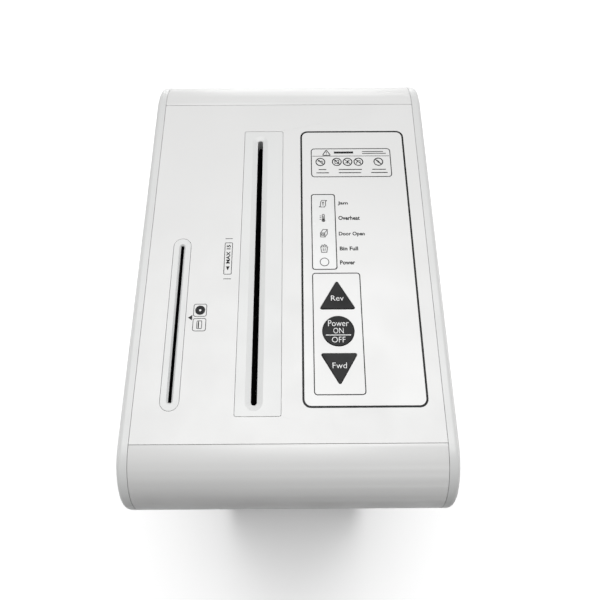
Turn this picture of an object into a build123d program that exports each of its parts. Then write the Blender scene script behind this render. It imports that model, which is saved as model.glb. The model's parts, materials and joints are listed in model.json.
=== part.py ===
"""Office paper shredder with a pull-out bin, its drive and its castors.

Millimetres. +X is to the user's right, +Y points away from the user and +Z is up. The origin
is on the floor, under the centre of the machine. The bin opens towards -Y.
"""
from build123d import *
from math import acos, asin, atan2, cos, degrees, pi, radians, sin, sqrt, tan
import os

os.makedirs("parts", exist_ok=True)

# ---- driving dimensions --------------------------------------------------------------------------
overall_height = 560.0
overall_width = 235.0
deck_length = 295.6         # the flat lid, from the front seam to the rear one
front_nose_radius = 39.7    # the rounded front of the head
rear_nose_radius = 46.3     # the rounded rear of the head
head_height = 112.0
skirt_radius = 150.0        # the arcs that tuck the head in under its nose and its tail
cheek_width = 8.2           # side cover, from its seam to the outside
cheek_edge = 4.0            # rounding of the side cover's outer edge
wall = 2.5
overcut = 1.0               # how far a cut starts outside the surface it goes into
seam = 0.3                  # gap shown between neighbouring covers
fit_gap = 0.3               # gap round an insert
running = 0.05              # radial clearance of a shaft in its bush
seat_gap = 0.02             # radial clearance of a gear on its own shaft

# slots and the control panel, seen from above
paper_slot_x = -24.4
paper_slot_y = -9.4
paper_slot_length = 230.0
paper_slot_width = 4.4
throat_width = 32.6
throat_length = 247.0
throat_corner = 1.5
throat_centre_x = -21.5
throat_centre_y = -8.7
cd_slot_x = -83.8
cd_slot_y = -59.6
cd_slot_length = 125.0
cd_slot_width = 2.2
cd_throat_width = 13.4
cd_throat_length = 137.0
panel_width = 88.2
panel_length = 241.0
panel_x = 54.3
panel_y = -5.8
panel_corner = 6.0
panel_thickness = 1.0
window_width = 19.1
window_length = 68.7
window_corner = 2.0
window_x = 28.1
window_y = 15.7
key_x = 36.9
rev_key_y = -44.2
power_key_y = -69.5
fwd_key_y = -94.7
key_triangle = 27.0         # side of a triangular key before its corners are rounded
power_key_radius = 11.7
key_corner = 1.0
key_travel = 0.8
key_gap = 0.35

# cutters and gears
paper_journal_radius = 8.0
cd_journal_radius = 5.0
disc_lap = 1.5              # a disc reaches this far past the middle between its pair's axes
core_gap = 1.0              # from a disc's rim to the opposite core
disc_pitch = 8.0
disc_thickness = 3.8
disc_overrun = 3.0          # discs run this far past each end of their slot
nip_depth = 58.0            # from the top of the head down to the paper cutters' axes
plate_thickness = 5.0
end_clearance = 2.0         # from the last disc to a bearing plate
bush_wall = 3.0
bush_seat = 0.05            # radial gap between a bush and its plate
gear_face_width = 8.0
gear_plane_gap = 2.0
pressure_angle = 25.0
addendum = 0.8
dedendum = 1.05
backlash = 0.16             # taken off a tooth at the pitch circle, in modules
cutter_module = 2.0
second_module = 1.5
first_module = 1.0
paper_teeth = 18
cd_link_teeth = 20
cd_teeth = 12
drive_teeth = 36
second_pinion_teeth = 12
second_gear_teeth = 40
first_pinion_teeth = 12
first_gear_teeth = 44
motor_pinion_teeth = 11
motor_x = 66.0
motor_rise = 2.0            # the motor's axis above the paper cutters' axes
motor_radius = 31.0
motor_length = 104.0
motor_shaft_radius = 4.0
post_radius = 4.0
first_gear_angle = -75.0    # from the motor's axis to the first gear's, above horizontal

# cabinet, bin and castors
castor_room = 18.0          # from the wheels' highest point up to the cabinet's floor
castor_inset = 28.0         # from the cabinet's side in to a castor's stem
cabinet_inset = 3.5         # the cabinet is narrower than the head by this on each side
cabinet_front_inset = 40.8  # from the head's foremost point back to the cabinet's sides
cabinet_rear_inset = 18.8
cabinet_panel = 3.0
base_thickness = 4.0
bin_front_depth = 19.0
bin_wall = 2.5
bin_side_gap = 5.0
bin_top_gap = 12.0
castor_y = 128.0
wheel_radius = 20.0
wheel_width = 13.0
castor_trail = 16.0
axle_radius = 3.0
stem_radius = 5.0

# ---- positions worked out from them --------------------------------------------------------------
top_z = overall_height
head_bottom = top_z - head_height
overall_depth = front_nose_radius + deck_length + rear_nose_radius
cabinet_half_width = overall_width / 2 - cabinet_inset
cabinet_front_y = cabinet_front_inset - overall_depth / 2
cabinet_rear_y = overall_depth / 2 - cabinet_rear_inset
castor_x = cabinet_half_width - castor_inset
castor_height = 2 * wheel_radius + castor_room
front_seam_y = front_nose_radius - overall_depth / 2
rear_seam_y = overall_depth / 2 - rear_nose_radius
shell_half = overall_width / 2 - cheek_width
cover_half = shell_half - seam / 2
base_top = head_bottom + wall
paper_axis_gap = cutter_module * paper_teeth
cd_axis_gap = cutter_module * cd_teeth
paper_disc_radius = paper_axis_gap / 2 + disc_lap
cd_disc_radius = cd_axis_gap / 2 + disc_lap
paper_core_radius = paper_axis_gap - paper_disc_radius - core_gap
cd_core_radius = cd_axis_gap - cd_disc_radius - core_gap
paper_z = top_z - nip_depth
paper_left_x = paper_slot_x - paper_axis_gap / 2
paper_right_x = paper_slot_x + paper_axis_gap / 2
cd_left_x = cd_slot_x - cd_axis_gap / 2
cd_right_x = cd_slot_x + cd_axis_gap / 2
link_distance = cutter_module * (paper_teeth + cd_link_teeth) / 2
cd_z = paper_z - sqrt(link_distance**2 - (paper_left_x - cd_right_x) ** 2)
cutter_half = paper_slot_length / 2 + disc_overrun
cd_half = cd_slot_length / 2 + disc_overrun
front_plate_y = min(paper_slot_y - cutter_half, cd_slot_y - cd_half) - end_clearance
rear_plate_y = max(paper_slot_y + cutter_half, cd_slot_y + cd_half) + end_clearance
plate_back = rear_plate_y + plate_thickness                  # the gears start behind this
motor_z = paper_z + motor_rise


cd_pair_plane = 1           # the gears stand in four planes, counted from the rear bearing plate
paper_pair_plane = 2
drive_plane = 3
reduction_plane = 4


def gear_plane(number):
    """Front and back of a gear plane."""
    front = plate_back + gear_plane_gap + (number - 1) * (gear_face_width + gear_plane_gap)
    return front, front + gear_face_width


def pitch_sum(module, teeth_a, teeth_b):
    """Distance between the axes of two meshed gears."""
    return module * (teeth_a + teeth_b) / 2


first_distance = pitch_sum(first_module, first_gear_teeth, motor_pinion_teeth)
first_x = motor_x + first_distance * cos(radians(first_gear_angle))
first_z = motor_z + first_distance * sin(radians(first_gear_angle))
second_distance = pitch_sum(cutter_module, drive_teeth, second_pinion_teeth)
middle_distance = pitch_sum(second_module, second_gear_teeth, first_pinion_teeth)
span_x, span_z = first_x - paper_right_x, first_z - paper_z
span = sqrt(span_x**2 + span_z**2)
second_turn = acos((second_distance**2 + span**2 - middle_distance**2) / (2 * second_distance * span))
second_angle = atan2(span_z, span_x) + second_turn
second_x = paper_right_x + second_distance * cos(second_angle)
second_z = paper_z + second_distance * sin(second_angle)


def skirt_inset(drop):
    """How far a skirt arc has led in, at a drop below the place where the head is longest."""
    return skirt_radius - sqrt(skirt_radius**2 - drop**2)


def at_y(y):
    """The plane across the machine at y: its own axes are X and Z, and it extrudes to -Y."""
    return Plane.XZ.offset(-y)


def save(part, name):
    """Labels a finished piece and writes it as a STEP file."""
    part.label = name
    export_step(part, f"parts/{name}.step")


# ---- head covers ---------------------------------------------------------------------------------
def head_outline(inset=0.0):
    """Side outline of the head in its own Y-Z plane, shrunk inwards by inset."""
    with BuildSketch() as outline:
        with BuildLine():
            for seam_y, radius, side in (
                (rear_seam_y, rear_nose_radius, 1),
                (front_seam_y, front_nose_radius, -1),
            ):
                Line((0, top_z), (seam_y, top_z))
                nose = JernArc((seam_y, top_z), (side, 0), radius, -side * 90)
                turn = degrees(asin((head_height - radius) / skirt_radius))
                skirt = JernArc(nose @ 1, (0, -1), skirt_radius, -side * turn)
                Line(skirt @ 1, (0, head_bottom))
        make_face()
        if inset:
            offset(amount=-inset)
    return outline.sketch


outer_outline = head_outline()
inner_outline = head_outline(wall)
cover_bottom = base_top + fit_gap


def fascia_section(side):
    """Cross-section of the front (-1) or rear (+1) cover: the outline's wall past the flat top."""
    edge_y = front_seam_y - seam / 2 if side < 0 else rear_seam_y + seam / 2
    with BuildSketch(Plane.YZ.offset(-cover_half)) as section:
        add(outer_outline)
        add(inner_outline, mode=Mode.SUBTRACT)
        with Locations((edge_y + side * overall_depth / 2, (top_z + cover_bottom) / 2)):
            Rectangle(overall_depth, top_z - cover_bottom, mode=Mode.INTERSECT)
    return section.sketch


def key_outline(name, grow=0.0):
    """Outline of one key, centred on its own origin and grown outwards by grow."""
    with BuildSketch() as outline:
        if name == "power_key":
            Circle(power_key_radius + grow)
        else:
            turn = 90 if name == "rev_key" else -90
            RegularPolygon(key_triangle / sqrt(3), 3, rotation=turn)
            fillet(outline.vertices(), key_corner)
            if grow:
                offset(amount=grow)
    return outline.sketch


key_places = {
    "rev_key": (key_x, rev_key_y),
    "power_key": (key_x, power_key_y),
    "fwd_key": (key_x, fwd_key_y),
}

with BuildPart() as top_panel:
    with BuildSketch(Plane.XY.offset(top_z - wall)):
        with Locations((0, (front_seam_y + rear_seam_y) / 2)):
            Rectangle(2 * cover_half, deck_length - seam)
    extrude(amount=wall)
    with BuildSketch(Plane.XY.offset(top_z)):
        with Locations((panel_x, panel_y)):
            RectangleRounded(panel_width + 2 * fit_gap, panel_length + 2 * fit_gap, panel_corner)
    extrude(amount=-panel_thickness, mode=Mode.SUBTRACT)
    with BuildSketch(Plane.XY.offset(top_z)):
        with Locations((throat_centre_x, throat_centre_y)):
            RectangleRounded(throat_width + 2 * fit_gap, throat_length + 2 * fit_gap, throat_corner)
        with Locations((cd_slot_x, cd_slot_y)):
            SlotOverall(cd_throat_length + 2 * fit_gap, cd_throat_width + 2 * fit_gap, rotation=90)
        with Locations((window_x, window_y)):
            RectangleRounded(window_width + 2 * fit_gap, window_length + 2 * fit_gap, window_corner)
        for name, place in key_places.items():
            with Locations(place):
                add(key_outline(name, key_gap))
    extrude(amount=-wall, mode=Mode.SUBTRACT)
save(top_panel.part, "top_panel")

with BuildPart() as front_fascia:
    extrude(fascia_section(-1), amount=2 * cover_half)
save(front_fascia.part, "front_fascia")

# the rear cover has an opening for the mains socket and switch, and cooling slots
socket_panel_x = 40.0
socket_panel_width = 78.0
socket_panel_height = 31.0
socket_panel_corner = 3.0
socket_panel_drop = 1.5     # below the line where the cover is furthest back
rear_nose_z = top_z - rear_nose_radius
socket_panel_z = rear_nose_z - socket_panel_drop - socket_panel_height / 2
vent_drop = 20.0
vent_length = 46.0
vent_width = 3.0
vent_count = 8
vent_pitch = 7.0
vent_x = -48.0
with BuildPart() as rear_fascia:
    extrude(fascia_section(1), amount=2 * cover_half)
    with BuildSketch(at_y(overall_depth / 2 + overcut)):
        with Locations((socket_panel_x, socket_panel_z)):
            RectangleRounded(socket_panel_width, socket_panel_height, socket_panel_corner)
        with Locations((vent_x, rear_nose_z - vent_drop)):
            with GridLocations(vent_pitch, 1, vent_count, 1):
                SlotOverall(vent_length, vent_width, rotation=90)
    extrude(amount=rear_nose_radius, mode=Mode.SUBTRACT)
save(rear_fascia.part, "rear_fascia")

pocket_inset = 3.0
with BuildPart() as right_cheek:
    with BuildSketch(Plane.YZ.offset(shell_half + seam / 2)):
        add(outer_outline)
    extrude(amount=cheek_width - seam / 2)
    fillet(right_cheek.faces().sort_by(Axis.X)[-1].edges(), cheek_edge)
    with BuildSketch(Plane.YZ.offset(shell_half + seam / 2)):
        add(head_outline(pocket_inset))
    extrude(amount=cheek_width - seam / 2 - wall, mode=Mode.SUBTRACT)
save(right_cheek.part, "right_cheek")

with BuildPart() as left_cheek:
    add(right_cheek.part.mirror(Plane.YZ))
save(left_cheek.part, "left_cheek")

# the head's floor carries the drive, and is open under both pairs of cutters
base_margin = 1.0           # from the head's outline in to the edge of its floor
base_front_y = skirt_inset(head_height - front_nose_radius) + base_margin - overall_depth / 2
base_rear_y = overall_depth / 2 - skirt_inset(head_height - rear_nose_radius) - base_margin
drop_reach_left = 8.0       # the opening goes this far past the outermost shafts
drop_reach_right = 12.0
drop_inset = 4.0            # and stops this far short of the bearing plates
drop_corner = 6.0
drop_left = cd_left_x - drop_reach_left
drop_right = paper_right_x + drop_reach_right
drop_front = front_plate_y + drop_inset
drop_rear = rear_plate_y - drop_inset
with BuildPart() as head_base:
    with BuildSketch(Plane.XY.offset(head_bottom)):
        with Locations((0, (base_front_y + base_rear_y) / 2)):
            Rectangle(2 * cover_half, base_rear_y - base_front_y)
    extrude(amount=wall)
    with BuildSketch(Plane.XY.offset(head_bottom)):
        with Locations(((drop_left + drop_right) / 2, (drop_front + drop_rear) / 2)):
            RectangleRounded(drop_right - drop_left, drop_rear - drop_front, drop_corner)
    extrude(amount=wall, mode=Mode.SUBTRACT)
save(head_base.part, "head_base")

# ---- throats -------------------------------------------------------------------------------------
flare = 4.2                 # width of the bevel round the paper slot's mouth
flare_depth = 1.3
guide_wall = 1.5
ledge = 2.0                 # rim under the deck that stops an insert from lifting out
ledge_thickness = 1.2
ledge_corner = 2.5
guide_clearance = 1.5       # from a guide wall down to the discs
guide_corner = 3.0


def guide_bottom(axis_z, axis_gap, disc_radius, slot_width):
    """Height of a guide's lower end, just above the discs beside it."""
    off_axis = axis_gap / 2 - slot_width / 2 - guide_wall
    return axis_z + sqrt(disc_radius**2 - off_axis**2) + guide_clearance


paper_guide_bottom = guide_bottom(paper_z, paper_axis_gap, paper_disc_radius, paper_slot_width)
cd_guide_bottom = guide_bottom(cd_z, cd_axis_gap, cd_disc_radius, cd_slot_width)

with BuildPart() as paper_throat:
    with BuildSketch(Plane.XY.offset(top_z - wall)):
        with Locations((throat_centre_x, throat_centre_y)):
            RectangleRounded(throat_width, throat_length, throat_corner)
    extrude(amount=wall)
    with BuildSketch(Plane.XY.offset(top_z - wall)):
        with Locations((throat_centre_x, throat_centre_y)):
            RectangleRounded(throat_width + 2 * ledge, throat_length + 2 * ledge, ledge_corner)
    extrude(amount=-ledge_thickness)
    with BuildSketch(Plane.XY.offset(paper_guide_bottom)):
        with Locations((paper_slot_x, paper_slot_y)):
            RectangleRounded(paper_slot_width + 2 * guide_wall, paper_slot_length + 2 * guide_wall,
                             guide_corner)
    extrude(amount=top_z - wall - paper_guide_bottom)
    with BuildSketch(Plane.XY.offset(paper_guide_bottom)):
        with Locations((paper_slot_x, paper_slot_y)):
            SlotOverall(paper_slot_length, paper_slot_width, rotation=90)
    extrude(amount=top_z - paper_guide_bottom, mode=Mode.SUBTRACT)
    rim_face = paper_throat.faces().sort_by(Axis.Z)[-1]
    chamfer(rim_face.inner_wires()[0].edges(), flare, flare_depth, reference=rim_face)
save(paper_throat.part, "paper_throat")

cd_flare = 1.4
cd_guide_corner = 2.0
with BuildPart() as cd_throat:
    with BuildSketch(Plane.XY.offset(top_z - wall)):
        with Locations((cd_slot_x, cd_slot_y)):
            SlotOverall(cd_throat_length, cd_throat_width, rotation=90)
    extrude(amount=wall)
    with BuildSketch(Plane.XY.offset(top_z - wall)):
        with Locations((cd_slot_x, cd_slot_y)):
            SlotOverall(cd_throat_length + 2 * ledge, cd_throat_width + 2 * ledge, rotation=90)
    extrude(amount=-ledge_thickness)
    with BuildSketch(Plane.XY.offset(cd_guide_bottom)):
        with Locations((cd_slot_x, cd_slot_y)):
            RectangleRounded(cd_slot_width + 2 * guide_wall, cd_slot_length + 2 * guide_wall,
                             cd_guide_corner)
    extrude(amount=top_z - wall - cd_guide_bottom)
    with BuildSketch(Plane.XY.offset(cd_guide_bottom)):
        with Locations((cd_slot_x, cd_slot_y)):
            SlotOverall(cd_slot_length, cd_slot_width, rotation=90)
    extrude(amount=top_z - cd_guide_bottom, mode=Mode.SUBTRACT)
    chamfer(cd_throat.faces().sort_by(Axis.Z)[-1].inner_wires()[0].edges(), cd_flare)
save(cd_throat.part, "cd_throat")

# paper is seen by an emitter and a receiver that look through the guide at its middle
sensor_size = (9.0, 12.0, 10.0)
sensor_edge = 1.0
sensor_room = 7.5           # from the discs up to the sensors
sensor_z = paper_z + paper_disc_radius + sensor_room + sensor_size[2] / 2
with BuildPart() as paper_sensor:
    for side in (-1, 1):
        reach = paper_slot_width / 2 + guide_wall + sensor_size[0] / 2
        with Locations((paper_slot_x + side * reach, paper_slot_y, sensor_z)):
            Box(*sensor_size)
    fillet(paper_sensor.edges().filter_by(Axis.X), sensor_edge)
save(paper_sensor.part, "paper_sensor")

# ---- control panel, keys and board ---------------------------------------------------------------
with BuildPart() as control_panel:
    with BuildSketch(Plane.XY.offset(top_z - panel_thickness)):
        with Locations((panel_x, panel_y)):
            RectangleRounded(panel_width, panel_length, panel_corner)
        with Locations((window_x, window_y)):
            RectangleRounded(window_width + 2 * fit_gap, window_length + 2 * fit_gap, window_corner,
                             mode=Mode.SUBTRACT)
        for name, place in key_places.items():
            with Locations(place):
                add(key_outline(name, key_gap), mode=Mode.SUBTRACT)
    extrude(amount=panel_thickness)
save(control_panel.part, "control_panel")

window_ledge_corner = 3.0
with BuildPart() as indicator_window:
    with BuildSketch(Plane.XY.offset(top_z - wall)):
        with Locations((window_x, window_y)):
            RectangleRounded(window_width, window_length, window_corner)
    extrude(amount=wall)
    with BuildSketch(Plane.XY.offset(top_z - wall)):
        with Locations((window_x, window_y)):
            RectangleRounded(window_width + 2 * ledge, window_length + 2 * ledge, window_ledge_corner)
    extrude(amount=-ledge_thickness)
save(indicator_window.part, "indicator_window")

board_drop = 13.0
board_z = top_z - board_drop
board_thickness = 1.6
switch_height = 3.6
key_flange_thickness = 1.2
key_flange_top = top_z - wall - running
key_flange = 1.0            # rim under the panel that keeps a key in
key_edge = 0.35
plunger_radius = 2.2
plunger_play = 0.2          # left between plunger and switch when a key is pressed home
plunger_end = board_z + board_thickness + switch_height + key_travel + plunger_play
for name, place in key_places.items():
    with BuildPart() as key:
        with BuildSketch(Plane.XY.offset(key_flange_top)):
            with Locations(place):
                add(key_outline(name))
        extrude(amount=top_z + key_travel - key_flange_top)
        fillet(key.faces().sort_by(Axis.Z)[-1].edges(), key_edge)
        with BuildSketch(Plane.XY.offset(key_flange_top)):
            with Locations(place):
                add(key_outline(name, key_gap + key_flange))
        extrude(amount=-key_flange_thickness)
        with BuildSketch(Plane.XY.offset(plunger_end)):
            with Locations(place):
                Circle(plunger_radius)
        extrude(until=Until.NEXT)
    save(key.part, name)

# the board carries push switches under the keys, lamps under the window and one chip
board_offset = (-8.0, -23.0)       # its middle from the panel's middle
board_size = (66.0, 178.0)
board_corner = 2.0
switch_body = 6.0
switch_corner = 0.6
switch_button_radius = 1.75
switch_button_height = 1.0
board_top = board_z + board_thickness
chip_size = (12.0, 16.0, 2.0)
chip_offset = (8.0, -10.0)
led_radius = 2.5
led_height = 6.0
led_dome = 2.0
led_offsets = (25.4, 11.9, -2.2, -16.0, -27.9)
with BuildPart() as control_board:
    with BuildSketch(Plane.XY.offset(board_z)):
        with Locations((panel_x + board_offset[0], panel_y + board_offset[1])):
            RectangleRounded(*board_size, board_corner)
    extrude(amount=board_thickness)
    with BuildSketch(Plane.XY.offset(board_top)):
        for place in key_places.values():
            with Locations(place):
                RectangleRounded(switch_body, switch_body, switch_corner)
    extrude(amount=switch_height - switch_button_height)
    with BuildSketch(Plane.XY.offset(board_top + switch_height - switch_button_height)):
        for place in key_places.values():
            with Locations(place):
                Circle(switch_button_radius)
    extrude(amount=switch_button_height)
    with BuildSketch(Plane.XY.offset(board_top)):
        for lamp in led_offsets:
            with Locations((window_x, window_y + lamp)):
                Circle(led_radius)
    extrude(amount=led_height)
    fillet(control_board.faces().filter_by(Axis.Z).sort_by(Axis.Z)[-len(led_offsets):].edges(), led_dome)
    with Locations((panel_x + chip_offset[0], panel_y + chip_offset[1], board_top + chip_size[2] / 2)):
        Box(*chip_size)
save(control_board.part, "control_board")

# ---- cutters -------------------------------------------------------------------------------------
hook_count = 3
hook_notch = 3.0
hook_slant = 30.0
hook_step = 20.0            # each disc is turned this far from the one before it
shaft_tail = 3.0            # past the front bearing plate
shaft_proud = 1.0           # past the last gear
shaft_chamfer = 0.8


def cutter(name, x, z, radius, core, journal, centre_y, count, hand, rear_end):
    """A cutter shaft: core, hooked discs a pitch apart, and a journal through both plates."""
    with BuildPart() as shaft:
        for i in range(count):
            y = centre_y + (i - (count - 1) / 2) * disc_pitch
            with BuildSketch(at_y(y + disc_thickness / 2)):
                with Locations((x, z)):
                    Circle(radius)
                    with PolarLocations(radius, hook_count, start_angle=hand * hook_step * i):
                        Rectangle(2 * hook_notch, hook_notch, rotation=hand * hook_slant,
                                  mode=Mode.SUBTRACT)
        extrude(amount=disc_thickness)
        half = (count - 1) / 2 * disc_pitch + disc_thickness / 2
        with BuildSketch(at_y(centre_y + half)):
            with Locations((x, z)):
                Circle(core)
        extrude(amount=2 * half)
        with BuildSketch(at_y(rear_end)):
            with Locations((x, z)):
                Circle(journal)
        extrude(amount=rear_end - front_plate_y + plate_thickness + shaft_tail)
        ends = shaft.faces().filter_by(Axis.Y).sort_by(Axis.Y)
        chamfer(ends[0].edges() + ends[-1].edges(), shaft_chamfer)
    save(shaft.part, name)


paper_discs = int(2 * (cutter_half - disc_thickness) / disc_pitch)
cd_discs = int(2 * (cd_half - disc_thickness) / disc_pitch)
half_step = disc_pitch / 4
pair_end = gear_plane(paper_pair_plane)[1] + shaft_proud
cutter("paper_cutter_left", paper_left_x, paper_z, paper_disc_radius, paper_core_radius,
       paper_journal_radius, paper_slot_y - half_step, paper_discs, 1, pair_end)
cutter("paper_cutter_right", paper_right_x, paper_z, paper_disc_radius, paper_core_radius,
       paper_journal_radius, paper_slot_y + half_step, paper_discs, -1,
       gear_plane(drive_plane)[1] + shaft_proud)
cutter("cd_cutter_left", cd_left_x, cd_z, cd_disc_radius, cd_core_radius,
       cd_journal_radius, cd_slot_y - half_step, cd_discs, 1, gear_plane(cd_pair_plane)[1] + shaft_proud)
cutter("cd_cutter_right", cd_right_x, cd_z, cd_disc_radius, cd_core_radius,
       cd_journal_radius, cd_slot_y + half_step, cd_discs, -1, pair_end)

# combs fill the gaps between the discs and strip the shreds off the shafts
finger_thickness = 3.2
finger_gap = 0.7            # from a finger to the core it strips
finger_reach = 2.5          # past the discs' rims
comb_beam = 3.6
comb_rise = 14.0            # fingers reach this far above and below the shaft's axis
beam_gap = 1.0              # from the discs' rims out to the beam
beam_rise = 18.0            # the beams' upper edge, above the shafts' axes
beam_drop_left = 6.0        # and their lower edges, below it
beam_drop_right = 18.0


def comb_rows(centre_y, count):
    """Back of each finger: one stands in every gap between neighbouring discs."""
    first_back = centre_y - (count - 2) / 2 * disc_pitch + finger_thickness / 2
    return [first_back + i * disc_pitch for i in range(count - 1)]


def finger_face(back_y, x, z, core, radius, side, low, high):
    """Outline of one finger: it wraps one side of the shaft from z low to z high."""
    inner, outer = core + finger_gap, radius + finger_reach
    with BuildSketch(at_y(back_y)) as face:
        with Locations((x, z)):
            Circle(outer)
            Circle(inner, mode=Mode.SUBTRACT)
        with Locations((x + side * (inner / 2 + outer) / 2, (low + high) / 2)):
            Rectangle(outer - inner / 2, high - low, mode=Mode.INTERSECT)
    return face.sketch.face()


with BuildPart() as paper_combs:
    for side, x, step, beam_low in (
        (-1, paper_left_x, -half_step, paper_z - beam_drop_left),
        (1, paper_right_x, half_step, paper_z - beam_drop_right),
    ):
        fingers = [
            finger_face(y, x, paper_z, paper_core_radius, paper_disc_radius, side,
                        paper_z - comb_rise, paper_z + comb_rise)
            for y in comb_rows(paper_slot_y + step, paper_discs)
        ]
        extrude(fingers, amount=finger_thickness)
        beam_high = paper_z + beam_rise
        beam_x = x + side * (paper_disc_radius + beam_gap + comb_beam / 2)
        with BuildSketch(at_y(rear_plate_y)):
            with Locations((beam_x, (beam_low + beam_high) / 2)):
                Rectangle(comb_beam, beam_high - beam_low)
        extrude(amount=rear_plate_y - front_plate_y)
save(paper_combs.part, "paper_combs")

cd_beam_width = 4.5
cd_beam_height = 4.3
cd_beam_offset = 8.0        # from a shaft's axis out to its beam
cd_beam_drop = 12.5
cd_comb_drop = 20.0
cd_comb_rise = 4.0
with BuildPart() as cd_combs:
    for side, x, step in ((-1, cd_left_x, -half_step), (1, cd_right_x, half_step)):
        fingers = [
            finger_face(y, x, cd_z, cd_core_radius, cd_disc_radius, side,
                        cd_z - cd_comb_drop, cd_z + cd_comb_rise)
            for y in comb_rows(cd_slot_y + step, cd_discs)
        ]
        extrude(fingers, amount=finger_thickness)
        beam_x = x + side * (cd_beam_offset + cd_beam_width / 2)
        with BuildSketch(at_y(rear_plate_y)):
            with Locations((beam_x, cd_z - cd_beam_drop - cd_beam_height / 2)):
                Rectangle(cd_beam_width, cd_beam_height)
        extrude(amount=rear_plate_y - front_plate_y)
save(cd_combs.part, "cd_combs")

# ---- bearing plates, bushes and tie bars ---------------------------------------------------------
shaft_places = (
    (paper_left_x, paper_z, paper_journal_radius),
    (paper_right_x, paper_z, paper_journal_radius),
    (cd_left_x, cd_z, cd_journal_radius),
    (cd_right_x, cd_z, cd_journal_radius),
)
plate_reach_left = 12.0     # past the leftmost shaft
plate_reach_right = 36.0    # past the paper pair's right-hand shaft
plate_reach_motor = 5.0     # past the motor's can
plate_room = 4.4            # from the largest gear's teeth up to the plates' upper edges
plate_corner = 5.0
plate_left = cd_left_x - plate_reach_left
front_plate_right = paper_right_x + plate_reach_right
rear_plate_right = motor_x + motor_radius + plate_reach_motor
plate_top = paper_z + cutter_module * (drive_teeth / 2 + addendum) + plate_room
tie_radius = 4.0
spigot_radius = 2.5
spigot_play = 0.1
tie_inset = 7.0             # from the plates' upper edges down to the upper bars
tie_board_gap = 2.0         # at least this much between a bar and the control board
upper_tie_z = min(plate_top - tie_inset, board_z - tie_radius - tie_board_gap)
tie_anchors = ((plate_left, upper_tie_z), (paper_right_x, upper_tie_z), (paper_right_x, base_top),
               (paper_left_x, base_top))
tie_offsets = ((8.0, 0.0), (27.0, 0.0), (28.0, 8.0), (-8.0, 7.0))      # each bar from its anchor
tie_places = [(x + dx, z + dz) for (x, z), (dx, dz) in zip(tie_anchors, tie_offsets)]
pinion_gap = 3.0            # round the motor's pinion where it comes through the plate
posts = ((first_x, first_z), (second_x, second_z))


def bearing_plate(name, rear_face_y, right_x, drive_side):
    """Steel plate across the head that carries one end of the four shafts."""
    with BuildPart() as plate:
        with BuildSketch(at_y(rear_face_y)):
            with Locations(((plate_left + right_x) / 2, (base_top + plate_top) / 2)):
                RectangleRounded(right_x - plate_left, plate_top - base_top, plate_corner)
            for x, z, journal in shaft_places:
                with Locations((x, z)):
                    Circle(journal + bush_wall, mode=Mode.SUBTRACT)
            with Locations(*tie_places):
                Circle(spigot_radius + spigot_play, mode=Mode.SUBTRACT)
            if drive_side:
                with Locations(*posts):
                    Circle(post_radius + seat_gap, mode=Mode.SUBTRACT)
                with Locations((motor_x, motor_z)):
                    Circle(motor_pinion_teeth * first_module / 2 + pinion_gap, mode=Mode.SUBTRACT)
        extrude(amount=plate_thickness)
    save(plate.part, name)


bearing_plate("front_bearing_plate", front_plate_y, front_plate_right, False)
bearing_plate("rear_bearing_plate", plate_back, rear_plate_right, True)

flange_thickness = 1.2
flange_reach = 1.2
with BuildPart() as bushes:
    for rear_face_y, flange_back in (
        (front_plate_y, front_plate_y + flange_thickness),
        (plate_back, rear_plate_y),
    ):
        for x, z, journal in shaft_places:
            with BuildSketch(at_y(rear_face_y)):
                with Locations((x, z)):
                    Circle(journal + bush_wall - bush_seat)
                    Circle(journal + running, mode=Mode.SUBTRACT)
            extrude(amount=plate_thickness)
            with BuildSketch(at_y(flange_back)):
                with Locations((x, z)):
                    Circle(journal + bush_wall + flange_reach)
                    Circle(journal + running, mode=Mode.SUBTRACT)
            extrude(amount=flange_thickness)
save(bushes.part, "bushes")

with BuildPart() as tie_bars:
    for x, z in tie_places:
        with BuildSketch(at_y(rear_plate_y)):
            with Locations((x, z)):
                Circle(tie_radius)
        extrude(amount=rear_plate_y - front_plate_y)
        with BuildSketch(at_y(plate_back)):
            with Locations((x, z)):
                Circle(spigot_radius)
        extrude(amount=plate_back - front_plate_y + plate_thickness)
save(tie_bars.part, "tie_bars")

# ---- gears ---------------------------------------------------------------------------------------
def mesh_phase(phase, teeth, centre, other_centre, other_teeth):
    """Phase in degrees of a gear that meshes with one whose tooth stands at the given phase."""
    line = atan2(other_centre[1] - centre[1], other_centre[0] - centre[0])
    offset_angle = (radians(phase) - line) * teeth + pi
    return degrees(line + pi - offset_angle / other_teeth)


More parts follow.
